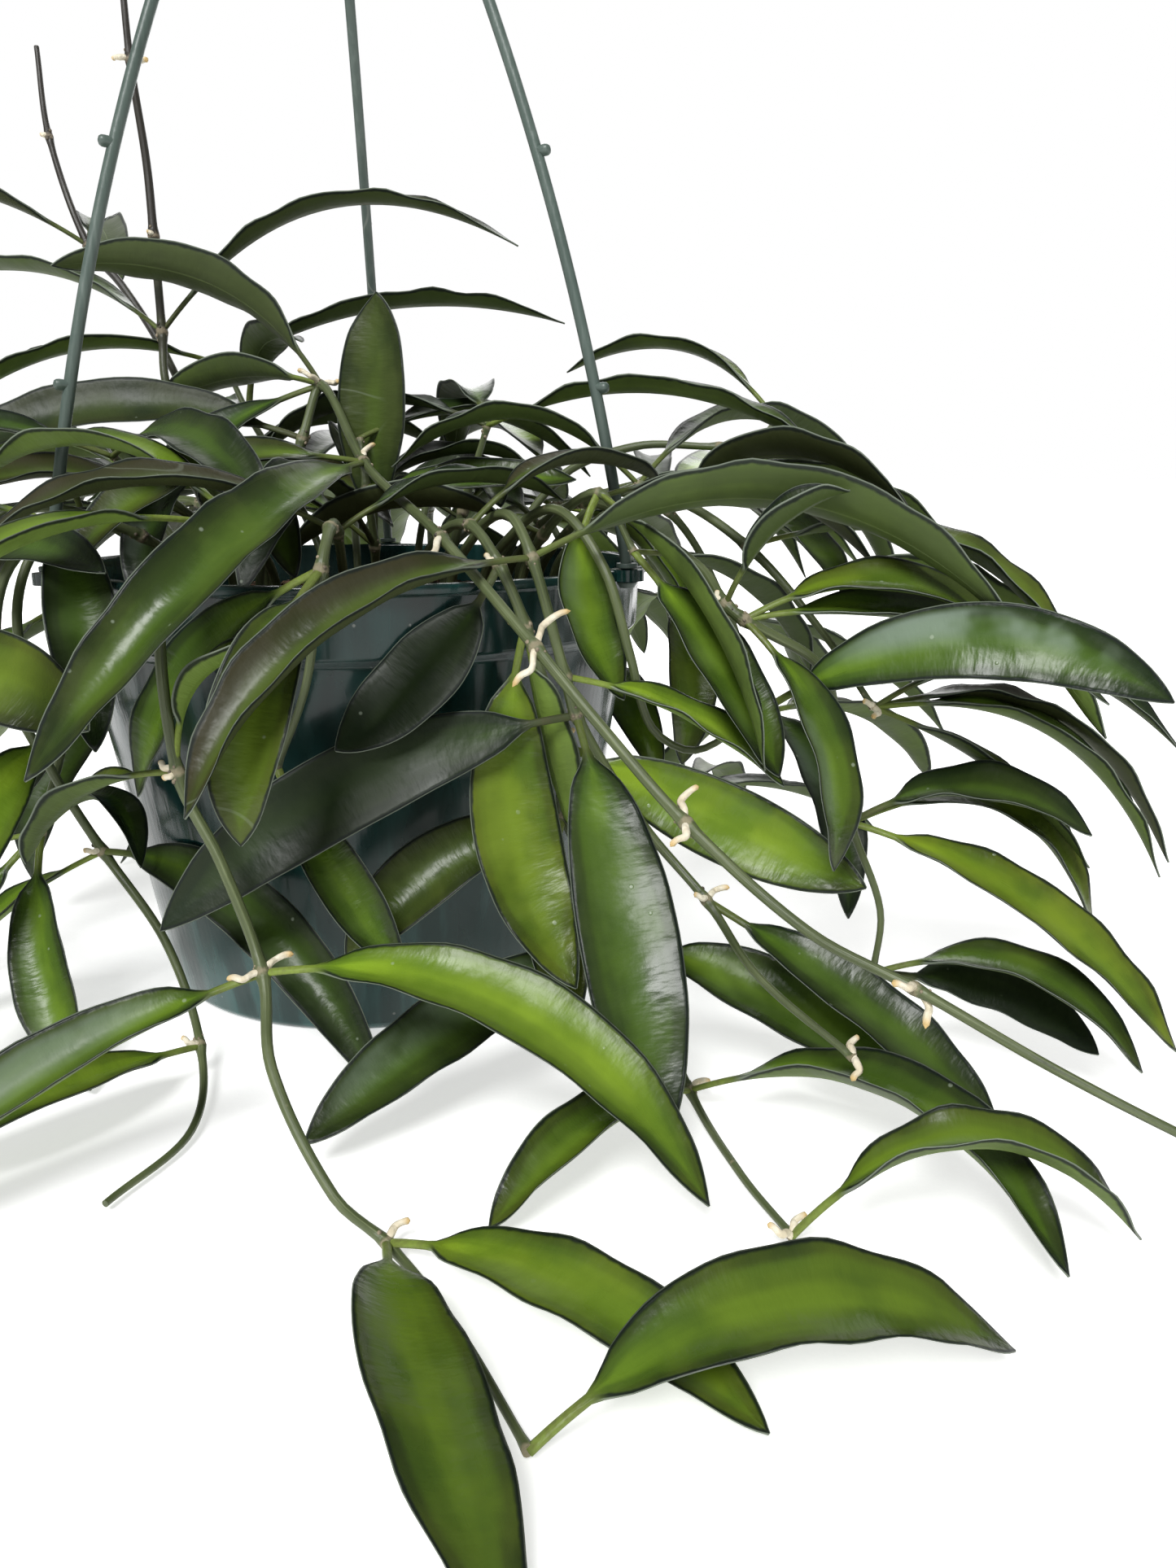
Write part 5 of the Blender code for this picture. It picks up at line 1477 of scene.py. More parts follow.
def growth_mesh(vine, leaves, roots):
    """A mesh that holds a point for each leaf, and a chain of points for the stem and for each root."""
    shares = [i / ROOT_STEPS for i in range(ROOT_STEPS + 1)]
    chains = [(STEM_PART, *stem_chain(vine))]
    chains += [(ROOT_PART, line, radii, shares, [0] * len(line)) for line, radii in roots]

    points = [base * MM for _, base, _ in leaves]
    edges = []
    values = {name: [0] * len(leaves) for name in ("radius", "knot", "brown")}
    values["part"] = [LEAF_PART] * len(leaves)
    for part, line, radii, knots, browns in chains:
        first = len(points)
        points += [point * MM for point in line]
        edges += [(i, i + 1) for i in range(first, len(points) - 1)]
        values["part"] += [part] * len(line)
        values["radius"] += [radius * MM for radius in radii]
        values["knot"] += knots
        values["brown"] += browns
    for leaf in leaves:
        for name, fact in leaf_facts(*leaf).items():
            values.setdefault(name, []).extend(fact if hasattr(fact, "__len__") else [fact])

    mesh = bpy.data.meshes.new("growth")
    mesh.from_pydata(points, edges, [])
    fields = {"FLOAT_VECTOR": ("vector", 3), "FLOAT_COLOR": ("color", 4)}
    for name, numbers in values.items():
        kind = value_kind(name)
        field, size = fields.get(kind, ("value", 1))
        numbers += [0.0] * (size * len(points) - len(numbers))
        mesh.attributes.new(name, kind, "POINT").data.foreach_set(field, numbers)
    return mesh


def link(name, data):
    """An object with this data in the scene."""
    made = bpy.data.objects.new(name, data)
    bpy.context.scene.collection.objects.link(made)
    return made


def finish_piece(name, mesh, node):
    """Makes a piece that stands for this solid and rides with the object."""
    piece = link(name, mesh)
    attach(piece, "root")
    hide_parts(node)


def join_meshes(name, meshes):
    """One mesh of these, with their finishes kept."""
    work = bmesh.new()
    finishes = []
    for mesh in meshes:
        first = len(work.faces)
        work.from_mesh(mesh)
        work.faces.ensure_lookup_table()
        places = []
        for finish in mesh.materials:
            if finish not in finishes:
                finishes.append(finish)
            places.append(finishes.index(finish))
        for face in work.faces[first:]:
            face.material_index = places[face.material_index] if places else 0
    joined = bpy.data.meshes.new(name)
    work.to_mesh(joined)
    work.free()
    for finish in finishes:
        joined.materials.append(finish)
    return joined


def tube_mesh(line, radii, sides, cord, finish):
    """A round tube along these points in millimetres, closed at its ends."""
    mesh = bpy.data.meshes.new("guide")
    mesh.from_pydata([point * MM for point in line], [(i, i + 1) for i in range(len(line) - 1)], [])
    thickness = mesh.attributes.new("radius", "FLOAT", "POINT")
    thickness.data.foreach_set("value", [radius * MM for radius in radii])
    tube = grown_mesh(link("guide", mesh), cord, {"Sides": sides, "Finish": finish})
    tube.shade_smooth()
    return tube


def rounded(profile, reach):
    """The profile with each inner corner rounded over this reach, in millimetres."""
    made = [Vector(profile[0])]
    for before, corner, after in zip(profile, profile[1:], profile[2:]):
        corner = Vector(corner)
        first = Vector(before) - corner
        last = Vector(after) - corner
        cut = min(reach, first.length * CORNER_SHARE, last.length * CORNER_SHARE)
        first = corner + first.normalized() * cut
        last = corner + last.normalized() * cut
        for k in range(CORNER_STEPS + 1):
            t = k / CORNER_STEPS
            made.append((1 - t) ** 2 * first + 2 * t * (1 - t) * corner + t * t * last)
    return made + [Vector(profile[-1])]


def turned_mesh(name, profile, sides):
    """A closed solid of revolution from an (r, z) profile in millimetres that starts and ends on the axis."""
    work = bmesh.new()
    rings = []
    for radius, height in profile:
        if radius < ON_AXIS:
            rings.append([work.verts.new((0, 0, height * MM))])
        else:
            places = [around(radius * MM, 360 * k / sides) for k in range(sides)]
            rings.append([work.verts.new((x, y, height * MM)) for x, y in places])
    for lower, upper in zip(rings, rings[1:]):
        for k in range(sides):
            corners = []
            for ring, number in ((lower, k), (lower, k + 1), (upper, k + 1), (upper, k)):
                vert = ring[number % len(ring)]
                if vert not in corners:
                    corners.append(vert)
            work.faces.new(corners)
    bmesh.ops.recalc_face_normals(work, faces=work.faces)
    mesh = bpy.data.meshes.new(name)
    work.to_mesh(mesh)
    work.free()
    mesh.shade_smooth()
    return mesh


def inner_radius(height):
    """The basket's inner radius at a height on its wall or its band."""
    if height >= BAND_FOOT:
        return BAND_RADIUS - WALL - BAND_TAPER
    share = (height - EDGE_CUT) / (BAND_FOOT - STEP_RISE - EDGE_CUT)
    return BASE_RADIUS + (WALL_TOP_RADIUS - BASE_RADIUS) * min(max(share, 0), 1) - WALL


def rods(sheet, count, circle, radius, first_angle, low, high, sides):
    """Upright rods in a ring round the axis, from one height to the other in millimetres."""
    ring = sheet.made("GeometryNodeMeshCircle", {"Vertices": count, "Radius": circle}, fill_type="NONE")
    rod = {"Vertices": sides, "Radius": radius, "Depth": (high - low) * MM}
    rod = sheet.made("GeometryNodeMeshCylinder", rod)
    placed = sheet.made("GeometryNodeInstanceOnPoints", {"Points": ring, "Instance": rod})
    move = {
        "Geometry": placed,
        "Translation": (0, 0, (low + high) / 2 * MM),
        "Rotation": (0, 0, math.radians(first_angle)),
    }
    return sheet.made("GeometryNodeRealizeInstances", {"Geometry": sheet.made("GeometryNodeTransform", move)})


def basket_tree():
    """Joins the three ears to the basket, then cuts their holes and the drain holes."""
    sizes = {
        "Ears": LEGS,
        "Ear Circle": EAR_CIRCLE * MM,
        "Ear Radius": EAR_RADIUS * MM,
        "Ear Hole": EAR_HOLE_RADIUS * MM,
        "Drain Holes": DRAIN_HOLES,
        "Drain Circle": DRAIN_CIRCLE * MM,
        "Drain Radius": DRAIN_RADIUS * MM,
        "Finish": None,
    }
    tree, sheet, given, end = new_shape_tree("basket ears and holes", sizes)
    ring = (given["Ears"], given["Ear Circle"])
    ears = rods(sheet, *ring, given["Ear Radius"], FIRST_LEG, EAR_LOW, EAR_TOP, EAR_SIDES)
    ear_cut = (EAR_LOW - EAR_CUT, EAR_TOP + EAR_CUT, EAR_HOLE_SIDES)
    ear_holes = rods(sheet, *ring, given["Ear Hole"], FIRST_LEG, *ear_cut)
    ring = (given["Drain Holes"], given["Drain Circle"])
    drain_cut = (-DRAIN_CUT, 2 * FLOOR, DRAIN_SIDES)
    drains = rods(sheet, *ring, given["Drain Radius"], 180 / DRAIN_HOLES, *drain_cut)
    joined = sheet.node("GeometryNodeMeshBoolean", operation="UNION", solver="EXACT")
    sheet.set(joined.inputs["Mesh 2"], given["Geometry"])
    sheet.set(joined.inputs["Mesh 2"], ears)
    joined = {"Mesh 1": sheet.out(joined)}
    cut = sheet.node("GeometryNodeMeshBoolean", joined, operation="DIFFERENCE", solver="EXACT")
    sheet.set(cut.inputs["Mesh 2"], ear_holes)
    sheet.set(cut.inputs["Mesh 2"], drains)
    sheet.set(end.inputs[0], sheet.coated(sheet.out(cut), given["Finish"]))
    return tree


def make_basket(finish):
    """The tapered basket with its stepped band, lip, drain holes and three pierced ears."""
    band_low = BAND_RADIUS - BAND_TAPER
    profile = [
        (0, FLOOR),
        (inner_radius(FLOOR), FLOOR),
        (WALL_TOP_RADIUS - WALL, BAND_FOOT - STEP_RISE + INNER_STEP_LIFT),
        (band_low - WALL, BAND_FOOT + INNER_STEP_LIFT),
        (BAND_RADIUS - WALL, BASKET_HEIGHT),
        (LIP_RADIUS, BASKET_HEIGHT),
        (LIP_RADIUS, BASKET_HEIGHT - LIP_THICKNESS),
        (BAND_RADIUS, BASKET_HEIGHT - LIP_THICKNESS),
        (band_low, BAND_FOOT),
        (WALL_TOP_RADIUS, BAND_FOOT - STEP_RISE),
        (BASE_RADIUS, EDGE_CUT),
        (BASE_RADIUS - EDGE_CUT, 0),
        (0, 0),
    ]
    wall = link("wall", turned_mesh("wall", rounded(profile, BASKET_ROUNDING), BASKET_SIDES))
    mesh = grown_mesh(wall, basket_tree(), {"Finish": finish})
    mesh.shade_smooth()
    mesh.set_sharp_from_angle(angle=math.radians(SHARP_BASKET_EDGE))
    finish_piece("basket_shell", mesh, "basket")


def leg_point(height):
    """A point on a hanger leg's centre line: it bows out between its ear and the hub."""
    share = (height - BASKET_HEIGHT) / (HUB_HEIGHT - BASKET_HEIGHT)
    rest = 1 - share
    foot = LEG_BOW * LEG_FOOT_BEND
    return Vector(((EAR_CIRCLE - foot) * rest + 4 * LEG_BOW * share * rest + foot * rest**4, 0, height))


def around_axis_tree():
    """Copies of the shape round the upright axis."""
    sizes = {"Count": LEGS, "First Angle": math.radians(FIRST_LEG), "Finish": None}
    tree, sheet, given, end = new_shape_tree("copies round the axis", sizes)
    spots = sheet.made("GeometryNodePoints", {"Count": given["Count"]})
    number = sheet.made("GeometryNodeInputIndex")
    angle = number * math.tau / given["Count"] + given["First Angle"]
    turn = sheet.made("FunctionNodeEulerToRotation", {0: sheet.joined(0.0, 0.0, angle)})
    shape = sheet.copies(spots, given["Geometry"], Rotation=turn)
    sheet.set(end.inputs[0], sheet.coated(shape, given["Finish"]))
    return tree


def hanger_leg(cord, finish):
    """One leg: a bowed rod that widens into the hub, its pegs and the clip foot in its ear."""
    foot = EAR_LOW - GAP
    seat = EAR_TOP + GAP
    low = seat + LEG_FOOT_RISE
    line = [leg_point(low + (HUB_HEIGHT - low) * i / LEG_STEPS) for i in range(LEG_STEPS + 1)]
    widen = (LEG_TOP_RADIUS - LEG_RADIUS) / (LEG_STEPS - LEG_WIDENS_AT)
    radii = [LEG_RADIUS + widen * max(0, i - LEG_WIDENS_AT) for i in range(LEG_STEPS + 1)]
    pieces = [tube_mesh(line, radii, LEG_SIDES, cord, finish)]
    for height in PEG_HEIGHTS:
        start = leg_point(height)
        peg = [start + Vector((PEG_REACH * share, 0, 0)) for share, _ in PEG_SHAPE]
        radii = [PEG_RADIUS * width for _, width in PEG_SHAPE]
        pieces.append(tube_mesh(peg, radii, LEG_SIDES, cord, finish))
    clip = [
        (0, foot - BUTTON_LENGTH),
        (BUTTON_RADIUS * BUTTON_TAPER, foot - BUTTON_LENGTH),
        (BUTTON_RADIUS, foot - BUTTON_RIM),
        (BUTTON_RADIUS, foot),
        (NECK_RADIUS, foot),
        (NECK_RADIUS, seat),
        (COLLAR_RADIUS, seat),
        (COLLAR_RADIUS, seat + COLLAR_LENGTH),
        (0, seat + COLLAR_LENGTH),
    ]
    clip = turned_mesh("clip", rounded(clip, CLIP_ROUNDING), CLIP_SIDES)
    clip.transform(Matrix.Translation((EAR_CIRCLE * MM, 0, 0)))
    return join_meshes("leg", pieces + [clip])


def make_hanger(cord, finish):
    """One moulding: three bowed legs with pegs and clip feet, the hub that joins them and the hook."""
    leg = link("leg", hanger_leg(cord, finish))
    legs = grown_mesh(leg, around_axis_tree(), {"Finish": finish})
    low = HUB_HEIGHT - HUB_LENGTH / 2
    top = HUB_HEIGHT + HUB_LENGTH / 2
    hub = [(0, low), (HUB_RADIUS, low), (HUB_RADIUS, top), (0, top)]
    hub = turned_mesh("hub", rounded(hub, HUB_ROUNDING), HUB_SIDES)
    hub.materials.append(finish)
    hook = [Vector((0, 0, HUB_HEIGHT)), Vector((0, 0, HUB_HEIGHT + HOOK_NECK))]
    for i in range(HOOK_STEPS + 1):
        x, z = around(HOOK_RADIUS, HOOK_START + (HOOK_END - HOOK_START) * i / HOOK_STEPS)
        hook.append(Vector((x, 0, HOOK_CENTRE + z)))
    hook, _ = smooth_line(hook, HOOK_STEP)
    radii = [HOOK_WIRE] * (len(hook) - len(HOOK_TIP)) + [HOOK_WIRE * share for share in HOOK_TIP]
    hook = tube_mesh(hook, radii, HOOK_SIDES, cord, finish)
    mesh = join_meshes("hanger_moulding", [legs, hub, hook])
    mesh.set_sharp_from_angle(angle=math.radians(SHARP_HANGER_EDGE))
    finish_piece("hanger_moulding", mesh, "hanger")


def bark_tree():
    """Chips of bark strewn over the top of the growing mix, and the mix under them."""
    sizes = {"Chips": CHIPS, "Seed": CHIP_SEED, "Lowest Top": (SOIL_TOP - CHIPS_BELOW) * MM}
    sizes |= {"Mix Finish": None, "Chip Finish": None}
    tree, sheet, given, end = new_shape_tree("bark chips", sizes)
    body = sheet.coated(given["Geometry"], given["Mix Finish"])
    height = sheet.parts(sheet.made("GeometryNodeInputPosition"))[2]
    on_top = sheet.ease(height - given["Lowest Top"], 0.0, CHIPS_START * MM, kind="LINEAR")
    facing = sheet.ease(sheet.parts(sheet.made("GeometryNodeInputNormal"))[2], *CHIPS_FACING)
    spread = {"Mesh": body, "Density": given["Chips"] * on_top * facing, "Seed": given["Seed"]}
    spread = sheet.made("GeometryNodeDistributePointsOnFaces", spread)
    chip = sheet.made("GeometryNodeMeshIcoSphere", {"Radius": 1.0, "Subdivisions": 2})
    place = sheet.made("GeometryNodeInputPosition")
    jag = place * (sheet.noise(place, CHIP_JAG_SCALE, 1.0) * CHIP_JAG + CHIP_LOW)
    chip = sheet.made("GeometryNodeSetPosition", {"Geometry": chip, "Position": jag})
    sizes = enumerate(CHIP_SIZES, CHIP_SIZE_SEED)
    size = [sheet.chance(low * MM, high * MM, seed) for seed, (low, high) in sizes]
    turn = [sheet.chance(*limits, seed) for seed, limits in enumerate(CHIP_TURNS, CHIP_TURN_SEED)]
    turn = sheet.made("FunctionNodeEulerToRotation", {0: sheet.joined(*turn)})
    chips = sheet.copies(spread, chip, Rotation=turn, Scale=sheet.joined(*size))
    chips = sheet.coated(chips, given["Chip Finish"])
    whole = sheet.node("GeometryNodeJoinGeometry")
    sheet.set(whole.inputs[0], body)
    sheet.set(whole.inputs[0], chips)
    sheet.set(end.inputs[0], sheet.out(whole))
    return tree


def make_soil(mix, chips):
    """The growing mix: mounded a little and rough on top, with bark chips on it."""
    rim_radius = inner_radius(SOIL_TOP) - 2 * GAP
    low_radius = inner_radius(2 * FLOOR) - 2 * GAP
    profile = [(0, SOIL_TOP)]
    profile += [(rim_radius * k / SOIL_RINGS, SOIL_TOP) for k in range(1, SOIL_RINGS)]
    profile += [
        (rim_radius, SOIL_TOP - SOIL_EDGE),
        (rim_radius, BAND_FOOT + SOIL_STEP_TOP),
        (WALL_TOP_RADIUS - WALL - 2 * GAP, BAND_FOOT - STEP_RISE + SOIL_STEP_FOOT),
        (low_radius, 2 * FLOOR + SOIL_EDGE),
        (low_radius - EDGE_CUT, FLOOR + GAP),
        (0, FLOOR + GAP),
    ]
    mesh = turned_mesh("mix", profile, SOIL_SIDES)
    chance = random.Random(SEED)
    for point in mesh.vertices:
        if point.co.z > (SOIL_TOP - SOIL_EDGE / 2) * MM:
            share = point.co.xy.length / (rim_radius * MM)
            point.co.z += (SOIL_CROWN * (1 - share**2) + chance.uniform(-0.5, 0.5) * SOIL_ROUGHNESS) * MM
    mesh = grown_mesh(link("mix", mesh), bark_tree(), {"Mix Finish": mix, "Chip Finish": chips})
    finish_piece("growing_mix_top", mesh, "soil")


def skin_grain_group():
    """Marks that skin and plastic share: fine grain, soft patches, specks and dried water marks."""
    tree = bpy.data.node_groups.new("skin grain", "ShaderNodeTree")
    sizes = (("Grain Scale", 900.0), ("Patch Scale", 45.0), ("Speck Scale", 210.0))
    tree.interface.new_socket("Place", in_out="INPUT", socket_type="NodeSocketVector")
    for name, value in sizes:
        tree.interface.new_socket(name, in_out="INPUT", socket_type="NodeSocketFloat").default_value = value
    for name in ("Height", "Patch", "Speck", "Water Mark"):
        tree.interface.new_socket(name, in_out="OUTPUT", socket_type="NodeSocketFloat")
    sheet = Sheet(tree)
    given = tree.nodes.new("NodeGroupInput")
    end = tree.nodes.new("NodeGroupOutput")
    place, grain, patch, speck = [sheet.out(given, number) for number in range(4)]
    fine = sheet.noise(place, grain, 3.0)
    coarse = sheet.noise(place, grain * 0.22, 2.0)
    sheet.set(end.inputs["Height"], fine * 0.55 + coarse * 0.45)
    soft = sheet.noise(place, patch, 3.0)
    sheet.set(end.inputs["Patch"], sheet.ease(soft, *PATCH_SPAN))
    cells = sheet.node("ShaderNodeTexVoronoi", {"Vector": place, "Scale": speck})
    rare = sheet.ease(sheet.parts(sheet.out(cells, "Color"))[0], *RARE_SPECKS)
    dot = sheet.ease(sheet.out(cells, "Distance"), *SPECK_EDGE)
    sheet.set(end.inputs["Speck"], rare * dot)
    level = sheet.noise(place + MARK_SHIFT, patch * 0.8, 0.0)
    line = sheet.ease(sheet.math("ABSOLUTE", level - MARK_LEVEL), *MARK_EDGE)
    wet = sheet.ease(sheet.noise(place + MARK_PLACES_SHIFT, patch * 0.3, 0.0), *MARK_PLACES)
    sheet.set(end.inputs["Water Mark"], line * wet)
    return tree


def new_finish(name):
    """A material, the sheet that its tree is written on and the place on the object."""
    material = bpy.data.materials.new(name)
    material.use_nodes = True
    sheet = Sheet(material.node_tree)
    return material, sheet, sheet.made("ShaderNodeTexCoord", name="Object")


def shared_marks(sheet, group, place, **scales):
    """The shared marks here: height, patch, speck and water mark; a scale not given is the group's own."""
    values = {f"{name.title()} Scale": scale for name, scale in scales.items()}
    marks = sheet.group(group, {"Place": place, **values})
    return [sheet.out(marks, number) for number in range(4)]


def set_skin(sheet, colour, roughness, height, depth, **plain):
    """Gives the shader its colour, roughness and relief in metres, and plain numbers on its other sockets."""
    bump = {"Strength": 1.0, "Distance": depth, "Height": height}
    values = {name.replace("_", " "): value for name, value in plain.items()}
    values |= {"Base Color": colour, "Roughness": roughness, "Normal": sheet.made("ShaderNodeBump", bump)}
    skin = sheet.tree.nodes["Principled BSDF"]
    for name, value in values.items():
        sheet.set(skin.inputs[name], value)


def leaf_spot(sheet, grain, place):
    """What the finish knows of a spot on a leaf: the leaf's tone, where on its blade it is, and its marks."""
    light, yellow, bronze = sheet.parts(sheet.carried("tone", "Color"))
    u, across, above = sheet.parts(sheet.carried("blade", "Vector"))
    edge = sheet.math("ABSOLUTE", across)
    streak = sheet.streaks((u, across, light), LEAF_STREAKS, 2.0)
    tone = (light, yellow, bronze, sheet.carried("tone", "Alpha"))
    marks = shared_marks(sheet, grain, place)
    return Spot(*tone, u, across, above, edge, sheet.carried("rim"), streak, *marks)


def leaf_bloom_and_sheen(sheet, spot):
    """The silvery waxy bloom on one half of a leaf's top, partly painted sheen."""
    other = sheet.math("GREATER_THAN", spot.silver, 1.5 * OTHER_HALF)
    half = sheet.ease(spot.across * (1.0 - other * 2.0), *BLOOM_SHEEN_EDGE) * sheet.ease(spot.rim, *BLOOM_SHEEN_INSET)
    half = half * sheet.ease(spot.u, *BLOOM_SHEEN_START) * (spot.silver - other * OTHER_HALF)
    return half * sheet.ease(spot.patch, *BLOOM_SHEEN_PATCHES) * sheet.ease(spot.u, *BLOOM_SHEEN_END)


def leaf_top(sheet, spot, bloom_sheen, shade):
    """A leaf's top: lighter by its stalk and middle, darker to its tip and rim, with bloom and painted sheen.
    """
    level = spot.light + (spot.patch - 0.5) * 0.18 + (spot.streak - 0.5) * 0.14 + shade
    level = level + sheet.ease(spot.u, *LIGHT_BY_STALK) - sheet.ease(spot.u, *DARK_BY_TIP) * TIP_DARKENING
    level = level - sheet.ease(spot.rim, *DARK_BY_RIM)
    level = level + sheet.ease(spot.edge, *LIGHT_BY_MIDDLE)
    top = sheet.colours(level, *LEAF_COLOURS)
    top = sheet.mix(spot.yellow * sheet.ease(spot.patch, *YELLOW_BY_PATCH), top, LEAF_YELLOW)
    dim = sheet.ease(spot.edge, *BRONZE_BY_EDGE) * sheet.ease(spot.patch, *BRONZE_BY_PATCH)
    top = sheet.mix(spot.bronze * dim, top, LEAF_BRONZE)
    # Part real waxy bloom and part painted sheen: a silvery grey mixed over one half of the top
    top = sheet.mix(bloom_sheen * BLOOM_SHEEN_SHARE, top, LEAF_BLOOM_SHEEN)
    return sheet.mix(sheet.math("MAXIMUM", spot.speck * 0.4, spot.mark * 0.12), top, LEAF_MARK_AND_GLINT)


def leaf_back(sheet, spot, shade):
    """A leaf's dull, paler back with its midrib."""
    level = spot.light * 0.8 + spot.patch * 0.18 + spot.streak * 0.22 + shade * 0.5
    back = sheet.mix(spot.bronze * 0.6, sheet.colours(level, *BACK_COLOURS), LEAF_BRONZE)
    return sheet.mix(sheet.ease(spot.edge, *MIDRIB_STRIPE, MIDRIB_SHARE, 0.0), back, BACK_MIDRIB)


def leaf_finish(name, grain, shade):
    """A waxy leaf: dark margin, painted edge highlight, pale stalk, bloom with painted sheen on one half,
    dull pale back.
    """
    material, sheet, place = new_finish(name)
    spot = leaf_spot(sheet, grain, place)
    bloom_sheen = leaf_bloom_and_sheen(sheet, spot)
    under = sheet.ease(spot.above, *UNDERSIDE)
    colour = sheet.mix(under, leaf_top(sheet, spot, bloom_sheen, shade), leaf_back(sheet, spot, shade))

    blade = sheet.ease(spot.u, *BLADE_BEGIN)
    ragged = spot.rim + (sheet.noise(place, MARGIN_GRAIN, 1.0) - 0.5) * RAGGED_BY
    margin = sheet.ease(ragged, *MARGIN_WIDTH, 1.0, 0.0) * blade
    colour = sheet.mix(margin * MARGIN_SHARE, colour, LEAF_MARGIN)
    # A painted highlight: a thin pale line along the very edge, where light would catch the rounded margin
    lip = sheet.ease(spot.rim, *EDGE_GLINT_WIDTH, 1.0, 0.0) * blade
    colour = sheet.mix(lip * EDGE_GLINT_SHARE, colour, LEAF_MARK_AND_GLINT)
    stalk = sheet.ease(spot.u, *STALK_END)
    stalk_colour = sheet.mix(sheet.ease(spot.light, *STALK_BY_LIGHT), STALK_DARK, STALK_LIGHT)
    stalk_colour = sheet.mix(sheet.ease(spot.height, *STALK_BROWNING) * 0.35, stalk_colour, STALK_BROWN)
    colour = sheet.mix(stalk, colour, stalk_colour)

    roughness = LEAF_ROUGHNESS + spot.patch * 0.10 + bloom_sheen * 0.14
    roughness = roughness + sheet.ease(spot.streak, *DULL_STREAKS) * 0.05
    roughness = roughness + sheet.ease(spot.light, *DULL_BY_DARKNESS)
    roughness = roughness + under * 0.26 + margin * 0.12 + stalk * 0.12 + spot.mark * 0.15
    midrib = sheet.ease(spot.edge, *MIDRIB_RIDGE, 1.0, 0.0) * under * 0.6
    ways = (spot.u, spot.across, spot.light)
    crinkles = sheet.streaks(ways, LEAF_CRINKLES, 1.0) * 1.1
    lines = sheet.streaks(ways, LEAF_LINES, 1.0) * 0.32
    relief = spot.height * 0.22 + crinkles + lines + midrib + spot.speck * 0.3 - margin * 0.3
    set_skin(sheet, colour, roughness, relief, LEAF_RELIEF, Specular_IOR_Level=LEAF_SPECULAR)
    return material


def stem_finish(grain):
    """A hard stem: lengthwise streaks, browner where it is old or bare, with corky knots."""
    material, sheet, place = new_finish("hoya stem")
    height, patch, speck, _ = shared_marks(sheet, grain, place, **STEM_MARKS)
    knot = sheet.carried("knot")
    brown = sheet.carried("brown")
    x, y, run = sheet.parts(sheet.carried("grain", "Vector"))
    streak = sheet.streaks((x, y, run), STEM_STREAKS, 3.0)
    colour = sheet.colours(streak * 0.8 + patch * 0.2, *STEM_COLOURS)
    colour = sheet.mix(sheet.ease(brown + (patch - 0.5) * 0.3, *STEM_BROWNING), colour, STEM_BROWN)
    cork = sheet.ease(knot + (height - 0.5) * 1.3, *CORK_START)
    colour = sheet.mix(cork * 0.6, colour, CORK)
    colour = sheet.mix(speck * 0.4, colour, CORK)
    ring = sheet.math("SINE", run * RING_RATE + patch * RING_SHIFT) * knot
    relief = streak * 0.8 + height * 0.35 + ring * 0.35 + cork * 0.3
    set_skin(sheet, colour, STEM_ROUGHNESS + cork * 0.3 + patch * 0.08, relief, STEM_RELIEF)
    return material


def root_finish(grain):
    """Cream air roots with lumpy skin and yellow tips."""
    material, sheet, place = new_finish("air root")
    height, patch, _, _ = shared_marks(sheet, grain, place, **ROOT_MARKS)
    share = sheet.carried("knot")
    colour = sheet.mix(patch, ROOT_CREAM, ROOT_SHADE)
    colour = sheet.mix(sheet.ease(share, *ROOT_TIP_START), colour, ROOT_TIP)
    lumps = sheet.noise(place, ROOT_LUMPS, 1.0)
    set_skin(sheet, colour, ROOT_ROUGHNESS + height * 0.2, lumps + height * 0.3, ROOT_RELIEF)
    return material


def callus_finish(grain):
    """The dry, beige lumps round a knot."""
    material, sheet, place = new_finish("callus")
    height, patch, _, _ = shared_marks(sheet, grain, place, **CALLUS_MARKS)
    colour = sheet.mix(patch, CORK, STEM_BROWN)
    set_skin(sheet, colour, CALLUS_ROUGHNESS + height * 0.2, height, STEM_RELIEF)
    return material


def basket_finish(grain):
    """Dark teal plastic letting a little light through, with dust, and painted light in pale streaks and its
    foot.
    """
    material, sheet, place = new_finish("basket plastic")
    height, patch, speck, mark = shared_marks(sheet, grain, place, **BASKET_MARKS)
    x, y, z = sheet.parts(place)
    streak = sheet.streaks((x, y, z), BASKET_STREAKS, 3.0)
    low = sheet.ease(z, *BASKET_FOOT)
    # Painted light: pale vertical streaks and a lighter foot stand in for light reflected in and seen through
    # the wall
    level = sheet.ease(streak, *BASKET_STREAK_SPAN) * 0.75 + low * 0.35
    colour = sheet.colours(level, *BASKET_COLOURS)
    colour = sheet.mix(sheet.math("MAXIMUM", speck * 0.35, mark * 0.14), colour, DUST)
    dusty = sheet.ease(patch, *DUSTY_PATCHES) * sheet.ease(z, *DUSTY_FOOT)
    colour = sheet.mix(dusty * 0.12, colour, DUST)
    roughness = BASKET_ROUGHNESS + dusty * 0.2 + streak * 0.10 + mark * 0.1
    set_skin(sheet, colour, roughness, streak * 0.8 + height * 0.1, BASKET_RELIEF, **BASKET_PLASTIC)
    return material


def hanger_finish(grain):
    """Satin grey-green plastic with faint drawn lines and scuffs."""
    material, sheet, place = new_finish("hanger plastic")
    height, patch, speck, mark = shared_marks(sheet, grain, place, **HANGER_MARKS)
    drawn = sheet.streaks(sheet.parts(place), HANGER_LINES, 2.0)
    colour = sheet.colours(drawn * 0.7 + patch * 0.3, *HANGER_COLOURS)
    colour = sheet.mix(sheet.math("MAXIMUM", speck * 0.4, mark * 0.25), colour, DUST)
    roughness = HANGER_ROUGHNESS + drawn * 0.14 + mark * 0.1
    set_skin(sheet, colour, roughness, drawn * 0.6 + height * 0.4, HANGER_RELIEF)
    return material


